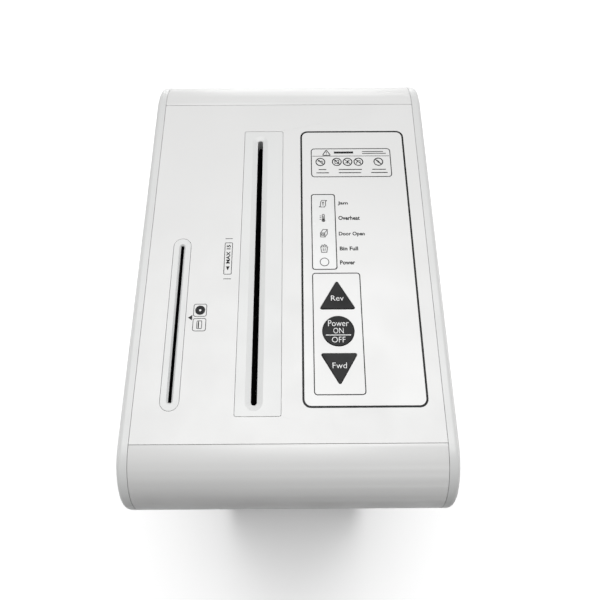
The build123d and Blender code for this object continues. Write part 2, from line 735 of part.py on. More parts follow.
def gear_face(module, teeth, phase):
    """Involute spur gear, centred on its own origin, with one tooth at the angle phase."""
    pitch_r = module * teeth / 2
    base_r = pitch_r * cos(radians(pressure_angle))
    tip_r = pitch_r + addendum * module
    root_r = pitch_r - dedendum * module
    flank_r = max(base_r, root_r)
    involute = tan(radians(pressure_angle)) - radians(pressure_angle)

    def half_tooth(r):
        """Half a tooth's angle at radius r, in degrees."""
        turn = acos(min(1.0, base_r / r))
        half = pi / (2 * teeth) - backlash * module / (2 * pitch_r)
        return degrees(half + involute - (tan(turn) - turn))

    def point(r, angle):
        return (r * cos(radians(angle)), r * sin(radians(angle)))

    step = 360.0 / teeth
    mid_r = (flank_r + tip_r) / 2
    root, mid, tip = half_tooth(flank_r), half_tooth(mid_r), half_tooth(tip_r)
    with BuildSketch() as face:
        with BuildLine():
            for k in range(teeth):
                tooth = phase + k * step
                if flank_r > root_r:
                    Line(point(root_r, tooth - root), point(flank_r, tooth - root))
                    Line(point(flank_r, tooth + root), point(root_r, tooth + root))
                ThreePointArc(point(flank_r, tooth - root), point(mid_r, tooth - mid),
                              point(tip_r, tooth - tip))
                Line(point(tip_r, tooth - tip), point(tip_r, tooth + tip))
                ThreePointArc(point(tip_r, tooth + tip), point(mid_r, tooth + mid),
                              point(flank_r, tooth + root))
                low_r = min(root_r, flank_r)
                Line(point(low_r, tooth + root), point(low_r, tooth + step - root))
        make_face()
    return face.sketch


def gear_section(centre, module, teeth, phase, plane, bore):
    """A gear's section, drawn on the back of its gear plane, with a round bore."""
    with BuildSketch(at_y(gear_plane(plane)[1])) as section:
        with Locations(centre):
            add(gear_face(module, teeth, phase))
            Circle(bore, mode=Mode.SUBTRACT)
    return section.sketch


paper_left, paper_right = (paper_left_x, paper_z), (paper_right_x, paper_z)
cd_left, cd_right = (cd_left_x, cd_z), (cd_right_x, cd_z)
first, second, motor_axis = (first_x, first_z), (second_x, second_z), (motor_x, motor_z)
right_phase = 0.0
left_phase = mesh_phase(right_phase, paper_teeth, paper_right, paper_left, paper_teeth)
link_phase = mesh_phase(left_phase, paper_teeth, paper_left, cd_right, cd_link_teeth)
cd_right_phase = 0.0
cd_left_phase = mesh_phase(cd_right_phase, cd_teeth, cd_right, cd_left, cd_teeth)
second_phase = mesh_phase(right_phase, drive_teeth, paper_right, second, second_pinion_teeth)
first_phase = mesh_phase(second_phase, second_gear_teeth, second, first, first_pinion_teeth)
motor_phase = mesh_phase(first_phase, first_gear_teeth, first, motor_axis, motor_pinion_teeth)
paper_bore = paper_journal_radius + seat_gap
cd_bore = cd_journal_radius + seat_gap

with BuildPart() as paper_gear_left:
    extrude(gear_section(paper_left, cutter_module, paper_teeth, left_phase, paper_pair_plane,
                         paper_bore), amount=gear_face_width)
save(paper_gear_left.part, "paper_gear_left")

# the right-hand paper shaft carries a double gear: the motor's train drives its larger half
drive_hole_circle = 23.0
drive_hole_radius = 6.0
drive_hole_count = 6
drive_collar = 14.0
with BuildPart() as paper_gear_right:
    extrude(gear_section(paper_right, cutter_module, paper_teeth, right_phase, paper_pair_plane,
                         paper_bore), amount=gear_face_width)
    extrude(gear_section(paper_right, cutter_module, drive_teeth, right_phase, drive_plane,
                         paper_bore), amount=gear_face_width)
    with BuildSketch(at_y(gear_plane(drive_plane)[1])):
        with Locations(paper_right):
            with PolarLocations(drive_hole_circle, drive_hole_count):
                Circle(drive_hole_radius)
    extrude(amount=gear_face_width, mode=Mode.SUBTRACT)
    with BuildSketch(at_y(gear_plane(drive_plane)[0])):
        with Locations(paper_right):
            Circle(drive_collar)
            Circle(paper_bore, mode=Mode.SUBTRACT)
    extrude(amount=gear_plane_gap)
save(paper_gear_right.part, "paper_gear_right")

link_collar = 9.0
with BuildPart() as cd_gear_right:
    extrude(gear_section(cd_right, cutter_module, cd_teeth, cd_right_phase, cd_pair_plane,
                         cd_bore), amount=gear_face_width)
    extrude(gear_section(cd_right, cutter_module, cd_link_teeth, link_phase, paper_pair_plane,
                         cd_bore), amount=gear_face_width)
    with BuildSketch(at_y(gear_plane(paper_pair_plane)[0])):
        with Locations(cd_right):
            Circle(link_collar)
            Circle(cd_bore, mode=Mode.SUBTRACT)
    extrude(amount=gear_plane_gap)
save(cd_gear_right.part, "cd_gear_right")

with BuildPart() as cd_gear_left:
    extrude(gear_section(cd_left, cutter_module, cd_teeth, cd_left_phase, cd_pair_plane,
                         cd_bore), amount=gear_face_width)
save(cd_gear_left.part, "cd_gear_left")

hub_radius = 7.0
web_rim = 4.0               # rim left under the teeth where a gear's web is thinned
web_recess = 5.0
hub_back = gear_plane(reduction_plane)[1]
post_bore = post_radius + running


def hub_section(centre):
    """Section of the hub that joins the two gears of a compound wheel across their planes."""
    with BuildSketch(at_y(hub_back)) as section:
        with Locations(centre):
            Circle(hub_radius)
            Circle(post_bore, mode=Mode.SUBTRACT)
    return section.sketch


with BuildPart() as second_reduction_gear:
    extrude(gear_section(second, cutter_module, second_pinion_teeth, second_phase, drive_plane,
                         post_bore), amount=gear_face_width)
    extrude(gear_section(second, second_module, second_gear_teeth, second_phase, reduction_plane,
                         post_bore), amount=gear_face_width)
    extrude(hub_section(second), amount=hub_back - gear_plane(drive_plane)[0])
    with BuildSketch(at_y(hub_back)):
        with Locations(second):
            Circle(second_module * second_gear_teeth / 2 - web_rim)
            Circle(hub_radius + web_rim, mode=Mode.SUBTRACT)
    extrude(amount=web_recess, mode=Mode.SUBTRACT)
save(second_reduction_gear.part, "second_reduction_gear")

with BuildPart() as first_reduction_gear:
    extrude(gear_section(first, first_module, first_gear_teeth, first_phase, drive_plane,
                         post_bore), amount=gear_face_width)
    extrude(gear_section(first, second_module, first_pinion_teeth, first_phase, reduction_plane,
                         post_bore), amount=gear_face_width)
    extrude(hub_section(first), amount=hub_back - gear_plane(drive_plane)[0])
    with BuildSketch(at_y(gear_plane(drive_plane)[0] + web_recess)):
        with Locations(first):
            Circle(first_module * first_gear_teeth / 2 - web_rim)
            Circle(hub_radius + web_rim, mode=Mode.SUBTRACT)
    extrude(amount=web_recess, mode=Mode.SUBTRACT)
save(first_reduction_gear.part, "first_reduction_gear")

cover_front = gear_plane(reduction_plane)[1] + gear_plane_gap
with BuildPart() as gear_posts:
    for x, z in posts:
        with BuildSketch(at_y(cover_front)):
            with Locations((x, z)):
                Circle(post_radius)
        extrude(amount=cover_front - rear_plate_y)
save(gear_posts.part, "gear_posts")

cover_margin = 3.0
cover_wall = 2.0            # across its back
cover_side = 1.5            # round its sides
cover_lift = 1.0            # clear of the head's floor
cover_corner = 8.0
cover_left = cd_left_x - cutter_module * cd_teeth / 2 - cutter_module * addendum - cover_margin
cover_width = rear_plate_right - cover_left
cover_height = plate_top - base_top - cover_lift
cover_centre = (cover_left + cover_width / 2, plate_top - cover_height / 2)
with BuildPart() as gearbox_cover:
    with BuildSketch(at_y(cover_front + cover_wall)):
        with Locations(cover_centre):
            RectangleRounded(cover_width, cover_height, cover_corner)
    extrude(amount=cover_front + cover_wall - plate_back)
    with BuildSketch(at_y(cover_front)):
        with Locations(cover_centre):
            RectangleRounded(cover_width - 2 * cover_side, cover_height - 2 * cover_side,
                             cover_corner - cover_side)
    extrude(amount=cover_front - plate_back, mode=Mode.SUBTRACT)
save(gearbox_cover.part, "gearbox_cover")

# ---- motor ---------------------------------------------------------------------------------------
motor_back = rear_plate_y
motor_front = motor_back - motor_length
shaft_hole_gap = 1.0
motor_vent_circle = 19.0
motor_vent_count = 8
motor_vent_size = (12.0, 4.0)
stator_inner = 20.0
stator_length = 40.0
stator_back = motor_back - 28.0
rotor_radius = 17.0
rotor_length = 36.0
rotor_back = motor_back - 30.0
commutator_radius = 10.0
commutator_length = 14.0
commutator_back = motor_back - 10.0
motor_shaft_inset = 6.0     # from the motor's front to the shaft's front end
motor_shaft_proud = 0.5     # past its pinion
pinion_bore = motor_shaft_radius / 2    # well inside the shaft, so that the two are one piece
motor_shaft_end = gear_plane(drive_plane)[1] + motor_shaft_proud
with BuildPart() as motor_case:
    with BuildSketch(at_y(motor_back)):
        with Locations(motor_axis):
            Circle(motor_radius)
            Circle(motor_shaft_radius + shaft_hole_gap, mode=Mode.SUBTRACT)
    extrude(amount=motor_length)
    with BuildSketch(at_y(motor_back - wall)):
        with Locations(motor_axis):
            Circle(motor_radius - wall)
    extrude(amount=motor_length - 2 * wall, mode=Mode.SUBTRACT)
    with BuildSketch(at_y(motor_front + wall)):
        with Locations(motor_axis):
            with PolarLocations(motor_vent_circle, motor_vent_count):
                SlotOverall(*motor_vent_size)
    extrude(amount=wall, mode=Mode.SUBTRACT)
    with BuildSketch(at_y(stator_back)):
        with Locations(motor_axis):
            Circle(motor_radius - wall)
            Circle(stator_inner, mode=Mode.SUBTRACT)
    extrude(amount=stator_length)
save(motor_case.part, "motor_case")

with BuildPart() as motor_rotor:
    for back_y, length, radius in (
        (motor_shaft_end, motor_shaft_end - motor_front - motor_shaft_inset, motor_shaft_radius),
        (rotor_back, rotor_length, rotor_radius),
        (commutator_back, commutator_length, commutator_radius),
    ):
        with BuildSketch(at_y(back_y)):
            with Locations(motor_axis):
                Circle(radius)
        extrude(amount=length)
    extrude(gear_section(motor_axis, first_module, motor_pinion_teeth, motor_phase, drive_plane,
                         pinion_bore), amount=gear_face_width)
save(motor_rotor.part, "motor_rotor")

fan_hub_radius = 8.0
fan_width = 8.0
fan_back = motor_front + 14.0
fan_blade = (18.0, 2.0)
fan_blade_count = 9
fan_blade_circle = 16.0
fan_blade_turn = 20.0
fan_disc_radius = 26.0
fan_disc_thickness = 1.5
with BuildPart() as motor_fan:
    with BuildSketch(at_y(fan_back)):
        with Locations(motor_axis):
            Circle(fan_hub_radius)
            with PolarLocations(fan_blade_circle, fan_blade_count):
                Rectangle(*fan_blade, rotation=fan_blade_turn)
            Circle(motor_shaft_radius + seat_gap, mode=Mode.SUBTRACT)
    extrude(amount=fan_width)
    with BuildSketch(at_y(fan_back + fan_disc_thickness)):
        with Locations(motor_axis):
            Circle(fan_disc_radius)
            Circle(motor_shaft_radius + seat_gap, mode=Mode.SUBTRACT)
    extrude(amount=fan_disc_thickness)
save(motor_fan.part, "motor_fan")

# ---- mains board, socket, switch and bin sensors -------------------------------------------------
power_board_lift = 5.0
power_board_size = (68.0, 104.0)
power_board_centre = (66.0, -68.0)
power_board_feet = (58.0, 94.0)
power_foot_radius = 3.0
transformer = (28.0, 32.0, 30.0)
transformer_place = (84.0, -98.0)
relay = (19.0, 15.0, 16.0)
relay_places = ((50.0, -100.0), (50.0, -76.0))
capacitors = ((84.0, -58.0, 9.0), (62.0, -48.0, 6.0))     # x, y and radius
capacitor_height = 26.0
power_board_z = base_top + power_board_lift
part_floor = power_board_z + board_thickness
with BuildPart() as power_board:
    with BuildSketch(Plane.XY.offset(power_board_z)):
        with Locations(power_board_centre):
            RectangleRounded(*power_board_size, board_corner)
    extrude(amount=board_thickness)
    with BuildSketch(Plane.XY.offset(base_top)):
        with Locations(power_board_centre):
            with GridLocations(*power_board_feet, 2, 2):
                Circle(power_foot_radius)
    extrude(amount=power_board_lift)
    with Locations((*transformer_place, part_floor + transformer[2] / 2)):
        Box(*transformer)
    for place in relay_places:
        with Locations((*place, part_floor + relay[2] / 2)):
            Box(*relay)
    with BuildSketch(Plane.XY.offset(part_floor)):
        for x, y, radius in capacitors:
            with Locations((x, y)):
                Circle(radius)
    extrude(amount=capacitor_height)
save(power_board.part, "power_board")

# a recessed panel, flush with the rounded rear cover, holds the mains socket and its switch
panel_drop = rear_nose_z - socket_panel_z + socket_panel_height / 2
recess_margin = 1.0         # the recess's floor lies this far inside the panel's lowest edge
recess_y = overall_depth / 2 - skirt_inset(panel_drop) - recess_margin
recess_wall = 4.0
recess_rim = 1.5
socket_offset = 17.0        # the socket stands this far left of the panel's middle
rocker_offset = 19.0        # and the switch this far right of it
socket_x = socket_panel_x - socket_offset
rocker_x = socket_panel_x + rocker_offset
socket_cut = (27.2, 20.2)
socket_cut_corner = 1.5
rocker_cut = (22.2, 13.2)
rocker_cut_corner = 1.0
panel_insert = (socket_panel_width - 2 * fit_gap, socket_panel_height - 2 * fit_gap)
beyond_rear = overall_depth / 2 + overcut
with BuildPart() as socket_panel:
    with BuildSketch(Plane.YZ.offset(socket_panel_x - panel_insert[0] / 2 - overcut)):
        add(outer_outline)
        with Locations((recess_y - recess_wall + rear_nose_radius, socket_panel_z)):
            Rectangle(2 * rear_nose_radius, panel_insert[1] + 2 * overcut, mode=Mode.INTERSECT)
    extrude(amount=panel_insert[0] + 2 * overcut)
    with BuildSketch(at_y(beyond_rear)):
        with Locations((socket_panel_x, socket_panel_z)):
            RectangleRounded(*panel_insert, socket_panel_corner - fit_gap)
    extrude(amount=rear_nose_radius, mode=Mode.INTERSECT)
    with BuildSketch(at_y(beyond_rear)):
        with Locations((socket_panel_x, socket_panel_z)):
            RectangleRounded(panel_insert[0] - 2 * recess_rim, panel_insert[1] - 2 * recess_rim,
                             socket_panel_corner - recess_rim)
    extrude(amount=beyond_rear - recess_y, mode=Mode.SUBTRACT)
    with BuildSketch(at_y(recess_y)):
        with Locations((socket_x, socket_panel_z)):
            RectangleRounded(*socket_cut, socket_cut_corner)
        with Locations((rocker_x, socket_panel_z)):
            RectangleRounded(*rocker_cut, rocker_cut_corner)
    extrude(amount=recess_wall, mode=Mode.SUBTRACT)
save(socket_panel.part, "socket_panel")

fitting_play = 0.1          # round a fitting in its cut-out
fitting_lip = 1.6
socket_face = (31.0, 24.0)
socket_face_corner = 2.0
socket_body_depth = 20.0
socket_mouth = (24.4, 16.4)
socket_mouth_corner = 2.5
socket_depth = 18.0
pin_spread = 7.0
pin_stagger = 2.0
pin_size = (2.0, 4.0)
pin_recess = 3.0            # from the panel in to the tips of the pins
pin_places = [
    (socket_x - pin_spread, socket_panel_z - pin_stagger),
    (socket_x + pin_spread, socket_panel_z - pin_stagger),
    (socket_x, socket_panel_z + pin_stagger),
]
with BuildPart() as mains_socket:
    with BuildSketch(at_y(recess_y + fitting_lip)):
        with Locations((socket_x, socket_panel_z)):
            RectangleRounded(*socket_face, socket_face_corner)
    extrude(amount=fitting_lip)
    with BuildSketch(at_y(recess_y)):
        with Locations((socket_x, socket_panel_z)):
            RectangleRounded(socket_cut[0] - 2 * fitting_play, socket_cut[1] - 2 * fitting_play,
                             socket_cut_corner - fitting_play)
    extrude(amount=socket_body_depth)
    with BuildSketch(at_y(recess_y + fitting_lip)):
        with Locations((socket_x, socket_panel_z)):
            RectangleRounded(*socket_mouth, socket_mouth_corner)
    extrude(amount=socket_depth, mode=Mode.SUBTRACT)
    with BuildSketch(at_y(recess_y - pin_recess)):
        with Locations(*pin_places):
            Rectangle(*pin_size)
    extrude(amount=socket_depth - pin_recess)
save(mains_socket.part, "mains_socket")

switch_face = (25.0, 16.0)
switch_face_corner = 1.5
switch_depth = 20.0
switch_pocket = 17.0
rocker_radius = 8.6
rocker_height = 9.6
rocker_play = 0.4
rocker_tilt = 9.0
rocker_set_back = 4.5
rocker_axis_y = recess_y - rocker_set_back
with BuildPart() as switch_frame:
    with BuildSketch(at_y(recess_y + fitting_lip)):
        with Locations((rocker_x, socket_panel_z)):
            RectangleRounded(*switch_face, switch_face_corner)
    extrude(amount=fitting_lip)
    with BuildSketch(at_y(recess_y)):
        with Locations((rocker_x, socket_panel_z)):
            RectangleRounded(rocker_cut[0] - 2 * fitting_play, rocker_cut[1] - 2 * fitting_play,
                             rocker_cut_corner - fitting_play)
    extrude(amount=switch_depth)
    with BuildSketch(at_y(recess_y + fitting_lip)):
        with Locations((rocker_x, socket_panel_z)):
            Rectangle(2 * (rocker_radius + rocker_play), rocker_height + 2 * rocker_play)
    extrude(amount=switch_pocket, mode=Mode.SUBTRACT)
save(switch_frame.part, "switch_frame")

# the rocker is a drum with a shallow valley across its face; at rest its left end is pressed in
valley_radius = 5.4
valley_rise = rocker_radius * tan(radians(rocker_tilt))
with BuildPart() as switch_rocker:
    with BuildSketch(Plane.XY.offset(socket_panel_z - rocker_height / 2)):
        with Locations(Location((rocker_x, rocker_axis_y, 0), (0, 0, rocker_tilt))):
            Circle(rocker_radius)
            Polygon((0, valley_radius), (rocker_radius, valley_radius + valley_rise),
                    (rocker_radius, 2 * rocker_radius), (-rocker_radius, 2 * rocker_radius),
                    (-rocker_radius, valley_radius + valley_rise), align=None, mode=Mode.SUBTRACT)
    extrude(amount=rocker_height)
save(switch_rocker.part, "switch_rocker")

# a plunger switch feels the bin's front cover, and two eyes look across the bin's mouth
bin_switch = (20.0, 6.5, 10.0)
bin_switch_inset = (18.0, 18.0)    # from the head's right side and from its floor's front edge
bin_plunger = (3.0, 2.5, 2.0)
bin_plunger_shift = 5.0
bin_eye = (10.0, 8.0, 8.0)
bin_eye_set_back = 6.0
bin_eye_x = (drop_left + 14.0, drop_right + 8.0)
bin_sensor_edge = 0.5
bin_switch_x = cover_half - bin_switch_inset[0]
bin_switch_y = base_front_y + bin_switch_inset[1]
with BuildPart() as bin_sensors:
    with Locations((bin_switch_x, bin_switch_y, base_top + bin_switch[2] / 2)):
        Box(*bin_switch)
    with Locations((bin_switch_x + bin_plunger_shift, bin_switch_y,
                    base_top + bin_switch[2] + bin_plunger[2] / 2)):
        Box(*bin_plunger)
    for x in bin_eye_x:
        with Locations((x, drop_front - bin_eye_set_back, head_bottom - bin_eye[2] / 2)):
            Box(*bin_eye)
    fillet(bin_sensors.edges().filter_by(Axis.Z), bin_sensor_edge)
save(bin_sensors.part, "bin_sensors")

# ---- cabinet -------------------------------------------------------------------------------------
cabinet_bottom = castor_height
inner_half = cabinet_half_width - cabinet_panel
side_height = head_bottom - cabinet_bottom
side_panel_edge = 2.4
cabinet_middle_y = (cabinet_front_y + cabinet_rear_y) / 2
for name, side in (("left_side_panel", -1), ("right_side_panel", 1)):
    with BuildPart() as side_panel:
        with BuildSketch(Plane.XY.offset(cabinet_bottom)):
            with Locations((side * (inner_half + cabinet_panel / 2), cabinet_middle_y)):
                Rectangle(cabinet_panel, cabinet_rear_y - cabinet_front_y)
        extrude(amount=side_height)
        outside = side_panel.faces().sort_by(Axis.X)[-1 if side > 0 else 0]
        fillet(outside.edges().filter_by(Axis.Z), side_panel_edge)
    save(side_panel.part, name)

louvre_count = 7
louvre_pitch = 9.0
louvre_size = (110.0, 4.0)
louvre_drop = 62.0          # from the head down to the middle louvre
rear_panel_inset = 0.5
rear_panel_y = cabinet_rear_y - rear_panel_inset
rear_panel_front_y = rear_panel_y - cabinet_panel
with BuildPart() as rear_panel:
    with BuildSketch(at_y(rear_panel_y)):
        with Locations((0, (cabinet_bottom + head_bottom) / 2)):
            Rectangle(2 * inner_half, side_height)
        with Locations((0, head_bottom - louvre_drop)):
            with GridLocations(1, louvre_pitch, 1, louvre_count):
                SlotOverall(*louvre_size, mode=Mode.SUBTRACT)
    extrude(amount=cabinet_panel)
save(rear_panel.part, "rear_panel")

# the floor of the cabinet is a steel pressing with a low rail each side to steer the bin
rail_height = 14.0
rail_width = 3.0
rail_front = cabinet_front_y + 12.0
rail_back = cabinet_rear_y - 14.0
rail_z = cabinet_bottom + base_thickness + rail_height / 2
with BuildPart() as base_plate:
    with BuildSketch(Plane.XY.offset(cabinet_bottom)):
        with Locations((0, (cabinet_front_y + rear_panel_front_y) / 2)):
            Rectangle(2 * inner_half, rear_panel_front_y - cabinet_front_y)
    extrude(amount=base_thickness)
    for side in (-1, 1):
        with Locations((side * (inner_half - rail_width / 2), (rail_front + rail_back) / 2, rail_z)):
            Box(rail_width, rail_back - rail_front, rail_height)
save(base_plate.part, "base_plate")


# ---- bin -----------------------------------------------------------------------------------------
bin_half = inner_half - bin_side_gap
bin_floor_gap = 1.0
bin_back_gap = 4.0
bin_face_gap = 0.8          # from the cabinet to the back of the bin's front cover
bin_corner = 10.0
bin_bottom = cabinet_bottom + base_thickness + bin_floor_gap
bin_top = head_bottom - bin_top_gap
bin_back = cabinet_rear_y - cabinet_panel - bin_back_gap
bin_face = cabinet_front_y - bin_face_gap
window_panel = (54.0, 190.0)
window_panel_corner = 12.0
window_panel_rise = 150.0
window_panel_z = bin_bottom + window_panel_rise
window_border = 4.0         # the hole in the bin is this much smaller all round
window_hole_corner = 8.0
with BuildPart() as waste_bin:
    with BuildSketch(Plane.XY.offset(bin_bottom)):
        with Locations((0, (bin_face + bin_back) / 2)):
            RectangleRounded(2 * bin_half, bin_back - bin_face, bin_corner)
    extrude(amount=bin_top - bin_bottom)
    with BuildSketch(Plane.XY.offset(bin_bottom + bin_wall)):
        with Locations((0, (bin_face + bin_back) / 2)):
            RectangleRounded(2 * (bin_half - bin_wall), bin_back - bin_face - 2 * bin_wall,
                             bin_corner - bin_wall)
    extrude(amount=bin_top - bin_bottom, mode=Mode.SUBTRACT)
    with BuildSketch(at_y(bin_face + 2 * bin_wall)):
        with Locations((0, window_panel_z)):
            RectangleRounded(window_panel[0] - 2 * window_border, window_panel[1] - 2 * window_border,
                             window_hole_corner)
    extrude(amount=2 * bin_wall + overcut, mode=Mode.SUBTRACT)
save(waste_bin.part, "waste_bin")

# the bin's front cover is a shallow shell with a window and a finger grip near its top
front_inset = 1.0           # narrower than the cabinet by this on each side
front_lift = 2.0
front_head_gap = 2.5
front_corner = 4.0
front_edge = 3.5
front_skin = 3.0
front_half = cabinet_half_width - front_inset
front_low = cabinet_bottom + front_lift
front_high = head_bottom - front_head_gap
front_outer_y = bin_face - bin_front_depth
grip_size = (120.0, 30.0)
grip_drop = 40.0
grip_z = front_high - grip_drop
grip_corner = 11.5
grip_depth = 15.0
grip_lip = 4.0              # thickness of the lip that the fingers curl behind
grip_rise = 9.0             # height of the hollow behind that lip
with BuildPart() as bin_front:
    with BuildSketch(at_y(bin_face)):
        with Locations((0, (front_low + front_high) / 2)):
            RectangleRounded(2 * front_half, front_high - front_low, front_corner)
    extrude(amount=bin_front_depth)
    fillet(bin_front.faces().sort_by(Axis.Y)[0].edges(), front_edge)
    with BuildSketch(at_y(bin_face)):
        with Locations((0, (front_low + front_high) / 2)):
            RectangleRounded(2 * (front_half - wall), front_high - front_low - 2 * wall,
                             front_corner - wall)
    extrude(amount=bin_front_depth - front_skin, mode=Mode.SUBTRACT)
    with BuildSketch(at_y(bin_face)):
        with Locations((0, window_panel_z)):
            RectangleRounded(window_panel[0] + 2 * fit_gap, window_panel[1] + 2 * fit_gap,
                             window_panel_corner)
    extrude(amount=bin_front_depth, mode=Mode.SUBTRACT)
    with BuildSketch(at_y(bin_face)):
        with Locations((0, grip_z + grip_rise / 2)):
            RectangleRounded(grip_size[0] + 2 * wall, grip_size[1] + grip_rise + 2 * wall,
                             grip_corner + wall)
    extrude(amount=bin_front_depth - front_skin / 2)
    with BuildSketch(at_y(front_outer_y + grip_depth)):
        with Locations((0, grip_z)):
            RectangleRounded(*grip_size, grip_corner)
    extrude(amount=grip_depth + overcut, mode=Mode.SUBTRACT)
    with BuildSketch(at_y(front_outer_y + grip_depth)):
        with Locations((0, grip_z + grip_rise / 2)):
            RectangleRounded(grip_size[0], grip_size[1] + grip_rise, grip_corner)
    extrude(amount=grip_depth - grip_lip, mode=Mode.SUBTRACT)
save(bin_front.part, "bin_front")

window_set_back = 1.0
window_side = 3.0
window_skin = 2.5
with BuildPart() as bin_window:
    with BuildSketch(at_y(bin_face)):
        with Locations((0, window_panel_z)):
            RectangleRounded(*window_panel, window_panel_corner)
    extrude(amount=bin_front_depth - window_set_back)
    with BuildSketch(at_y(bin_face)):
        with Locations((0, window_panel_z)):
            RectangleRounded(window_panel[0] - 2 * window_side, window_panel[1] - 2 * window_side,
                             window_panel_corner - window_side)
    extrude(amount=bin_front_depth - window_set_back - window_skin, mode=Mode.SUBTRACT)
save(bin_window.part, "bin_window")

# a separate tray hooks over the bin's left wall and catches the pieces of discs and cards
tray_wall = 1.8
tray_corner = 5.0
tray_gap = 0.5              # from the bin's wall to the tray
tray_right_inset = 20.0     # from the left-hand paper shaft's axis to the tray
tray_overrun = 12.0         # past each end of the disc slot
tray_drop = 2.0             # below the bin's rim
tray_height = 90.0
hook_length = 60.0
hook_thickness = 2.0
hook_reach = 5.0            # outwards from the tray's side, over the bin's wall
hook_root = 3.0             # inwards from it
hook_gap = 0.3              # over the bin's rim
tray_right = paper_left_x - tray_right_inset
tray_left = -bin_half + bin_wall + tray_gap
tray_front = cd_slot_y - cd_slot_length / 2 - tray_overrun
tray_back = cd_slot_y + cd_slot_length / 2 + tray_overrun
tray_top = bin_top - tray_drop
with BuildPart() as cd_tray:
    tray_centre = ((tray_left + tray_right) / 2, (tray_front + tray_back) / 2)
    with BuildSketch(Plane.XY.offset(tray_top - tray_height)):
        with Locations(tray_centre):
            RectangleRounded(tray_right - tray_left, tray_back - tray_front, tray_corner)
    extrude(amount=tray_height)
    with BuildSketch(Plane.XY.offset(tray_top - tray_height + tray_wall)):
        with Locations(tray_centre):
            RectangleRounded(tray_right - tray_left - 2 * tray_wall,
                             tray_back - tray_front - 2 * tray_wall, tray_corner - tray_wall)
    extrude(amount=tray_height, mode=Mode.SUBTRACT)
    hook_low = bin_top + hook_gap
    hook_x = tray_left + (hook_root - hook_reach) / 2
    with Locations((hook_x, tray_centre[1], hook_low + hook_thickness / 2)):
        Box(hook_reach + hook_root, hook_length, hook_thickness)
    with Locations((tray_left + tray_wall / 2, tray_centre[1], (hook_low + tray_top - tray_drop) / 2)):
        Box(tray_wall, hook_length, hook_low - tray_top + tray_drop)
save(cd_tray.part, "cd_tray")

# ---- castors -------------------------------------------------------------------------------------
castor_places = {
    "front_left": (-castor_x, -castor_y),
    "front_right": (castor_x, -castor_y),
    "rear_left": (-castor_x, castor_y),
    "rear_right": (castor_x, castor_y),
}
socket_height = 8.0
socket_radius = 15.0
socket_chamfer = 1.0
socket_roof = 1.0           # left over the stem's hole
stem_play = 0.5             # over the end of the stem
with BuildPart() as castor_sockets:
    for x, y in castor_places.values():
        with BuildSketch(Plane.XY.offset(castor_height - socket_height)):
            with Locations((x, y)):
                Circle(socket_radius)
        extrude(amount=socket_height)
        with BuildSketch(Plane.XY.offset(castor_height - socket_height)):
            with Locations((x, y)):
                Circle(stem_radius + running)
        extrude(amount=socket_height - socket_roof, mode=Mode.SUBTRACT)
    lower_rings = castor_sockets.faces().sort_by(Axis.Z)[:len(castor_places)].edges()
    chamfer(lower_rings.filter_by(GeomType.CIRCLE).group_by(SortBy.RADIUS)[-1], socket_chamfer)
save(castor_sockets.part, "castor_sockets")

web_thickness = 8.0
wheel_gap = 1.2
wheel_edge = 2.0
hood_gap = 1.8              # from a wheel's tread to the hood
hood_wall = 2.2
hood_low = 2.0              # the hood's lower edge, above the axle
web_low = 6.0               # the web's lower edge, below the axle
web_overlap = 1.0           # how far the web runs into the hood
boss_radius = 8.0
boss_low = 17.0             # the stem's boss starts this far above the axle
axle_inset = 1.0            # from the outside of a wheel to the axle's end
shoulder_gap = 1.0          # between the boss and its socket
hood_inner = wheel_radius + hood_gap
hood_outer = hood_inner + hood_wall
hood_half = web_thickness / 2 + wheel_gap + wheel_width
shoulder_z = castor_height - socket_height - shoulder_gap
stem_height = castor_height - socket_roof - stem_play - shoulder_z
for name, (x, y) in castor_places.items():
    wheel_y = y + castor_trail
    with BuildPart() as hood:
        with BuildSketch(Plane.YZ.offset(x - hood_half)):
            with Locations((wheel_y, wheel_radius)):
                Circle(hood_outer)
                Circle(hood_inner, mode=Mode.SUBTRACT)
                with Locations((0, hood_low + hood_outer)):
                    Rectangle(2 * hood_outer, 2 * hood_outer, mode=Mode.INTERSECT)
        extrude(amount=2 * hood_half)
        with BuildSketch(Plane.YZ.offset(x - web_thickness / 2)):
            with Locations((wheel_y, wheel_radius)):
                Circle(hood_inner + web_overlap)
                with Locations((0, hood_outer - web_low)):
                    Rectangle(2 * hood_outer, 2 * hood_outer, mode=Mode.INTERSECT)
                Circle(axle_radius + running, mode=Mode.SUBTRACT)
        extrude(amount=web_thickness)
        with BuildSketch(Plane.XY.offset(wheel_radius + boss_low)):
            with Locations((x, y)):
                Circle(boss_radius)
        extrude(amount=shoulder_z - wheel_radius - boss_low)
        with BuildSketch(Plane.XY.offset(shoulder_z)):
            with Locations((x, y)):
                Circle(stem_radius)
        extrude(amount=stem_height)
        for wheel_side_x in (x - hood_half - overcut, x + web_thickness / 2):
            with BuildSketch(Plane.YZ.offset(wheel_side_x)):
                with Locations((wheel_y, wheel_radius)):
                    Circle(hood_inner)
            extrude(amount=hood_half + overcut - web_thickness / 2, mode=Mode.SUBTRACT)
    save(hood.part, f"castor_hood_{name}")

    with BuildPart() as wheels:
        for wheel_side_x in (x - hood_half, x + web_thickness / 2 + wheel_gap):
            with BuildSketch(Plane.YZ.offset(wheel_side_x)):
                with Locations((wheel_y, wheel_radius)):
                    Circle(wheel_radius)
            extrude(amount=wheel_width)
        fillet(wheels.edges().filter_by(GeomType.CIRCLE), wheel_edge)
        with BuildSketch(Plane.YZ.offset(x - hood_half + axle_inset)):
            with Locations((wheel_y, wheel_radius)):
                Circle(axle_radius)
        extrude(amount=2 * (hood_half - axle_inset))
    save(wheels.part, f"castor_wheels_{name}")

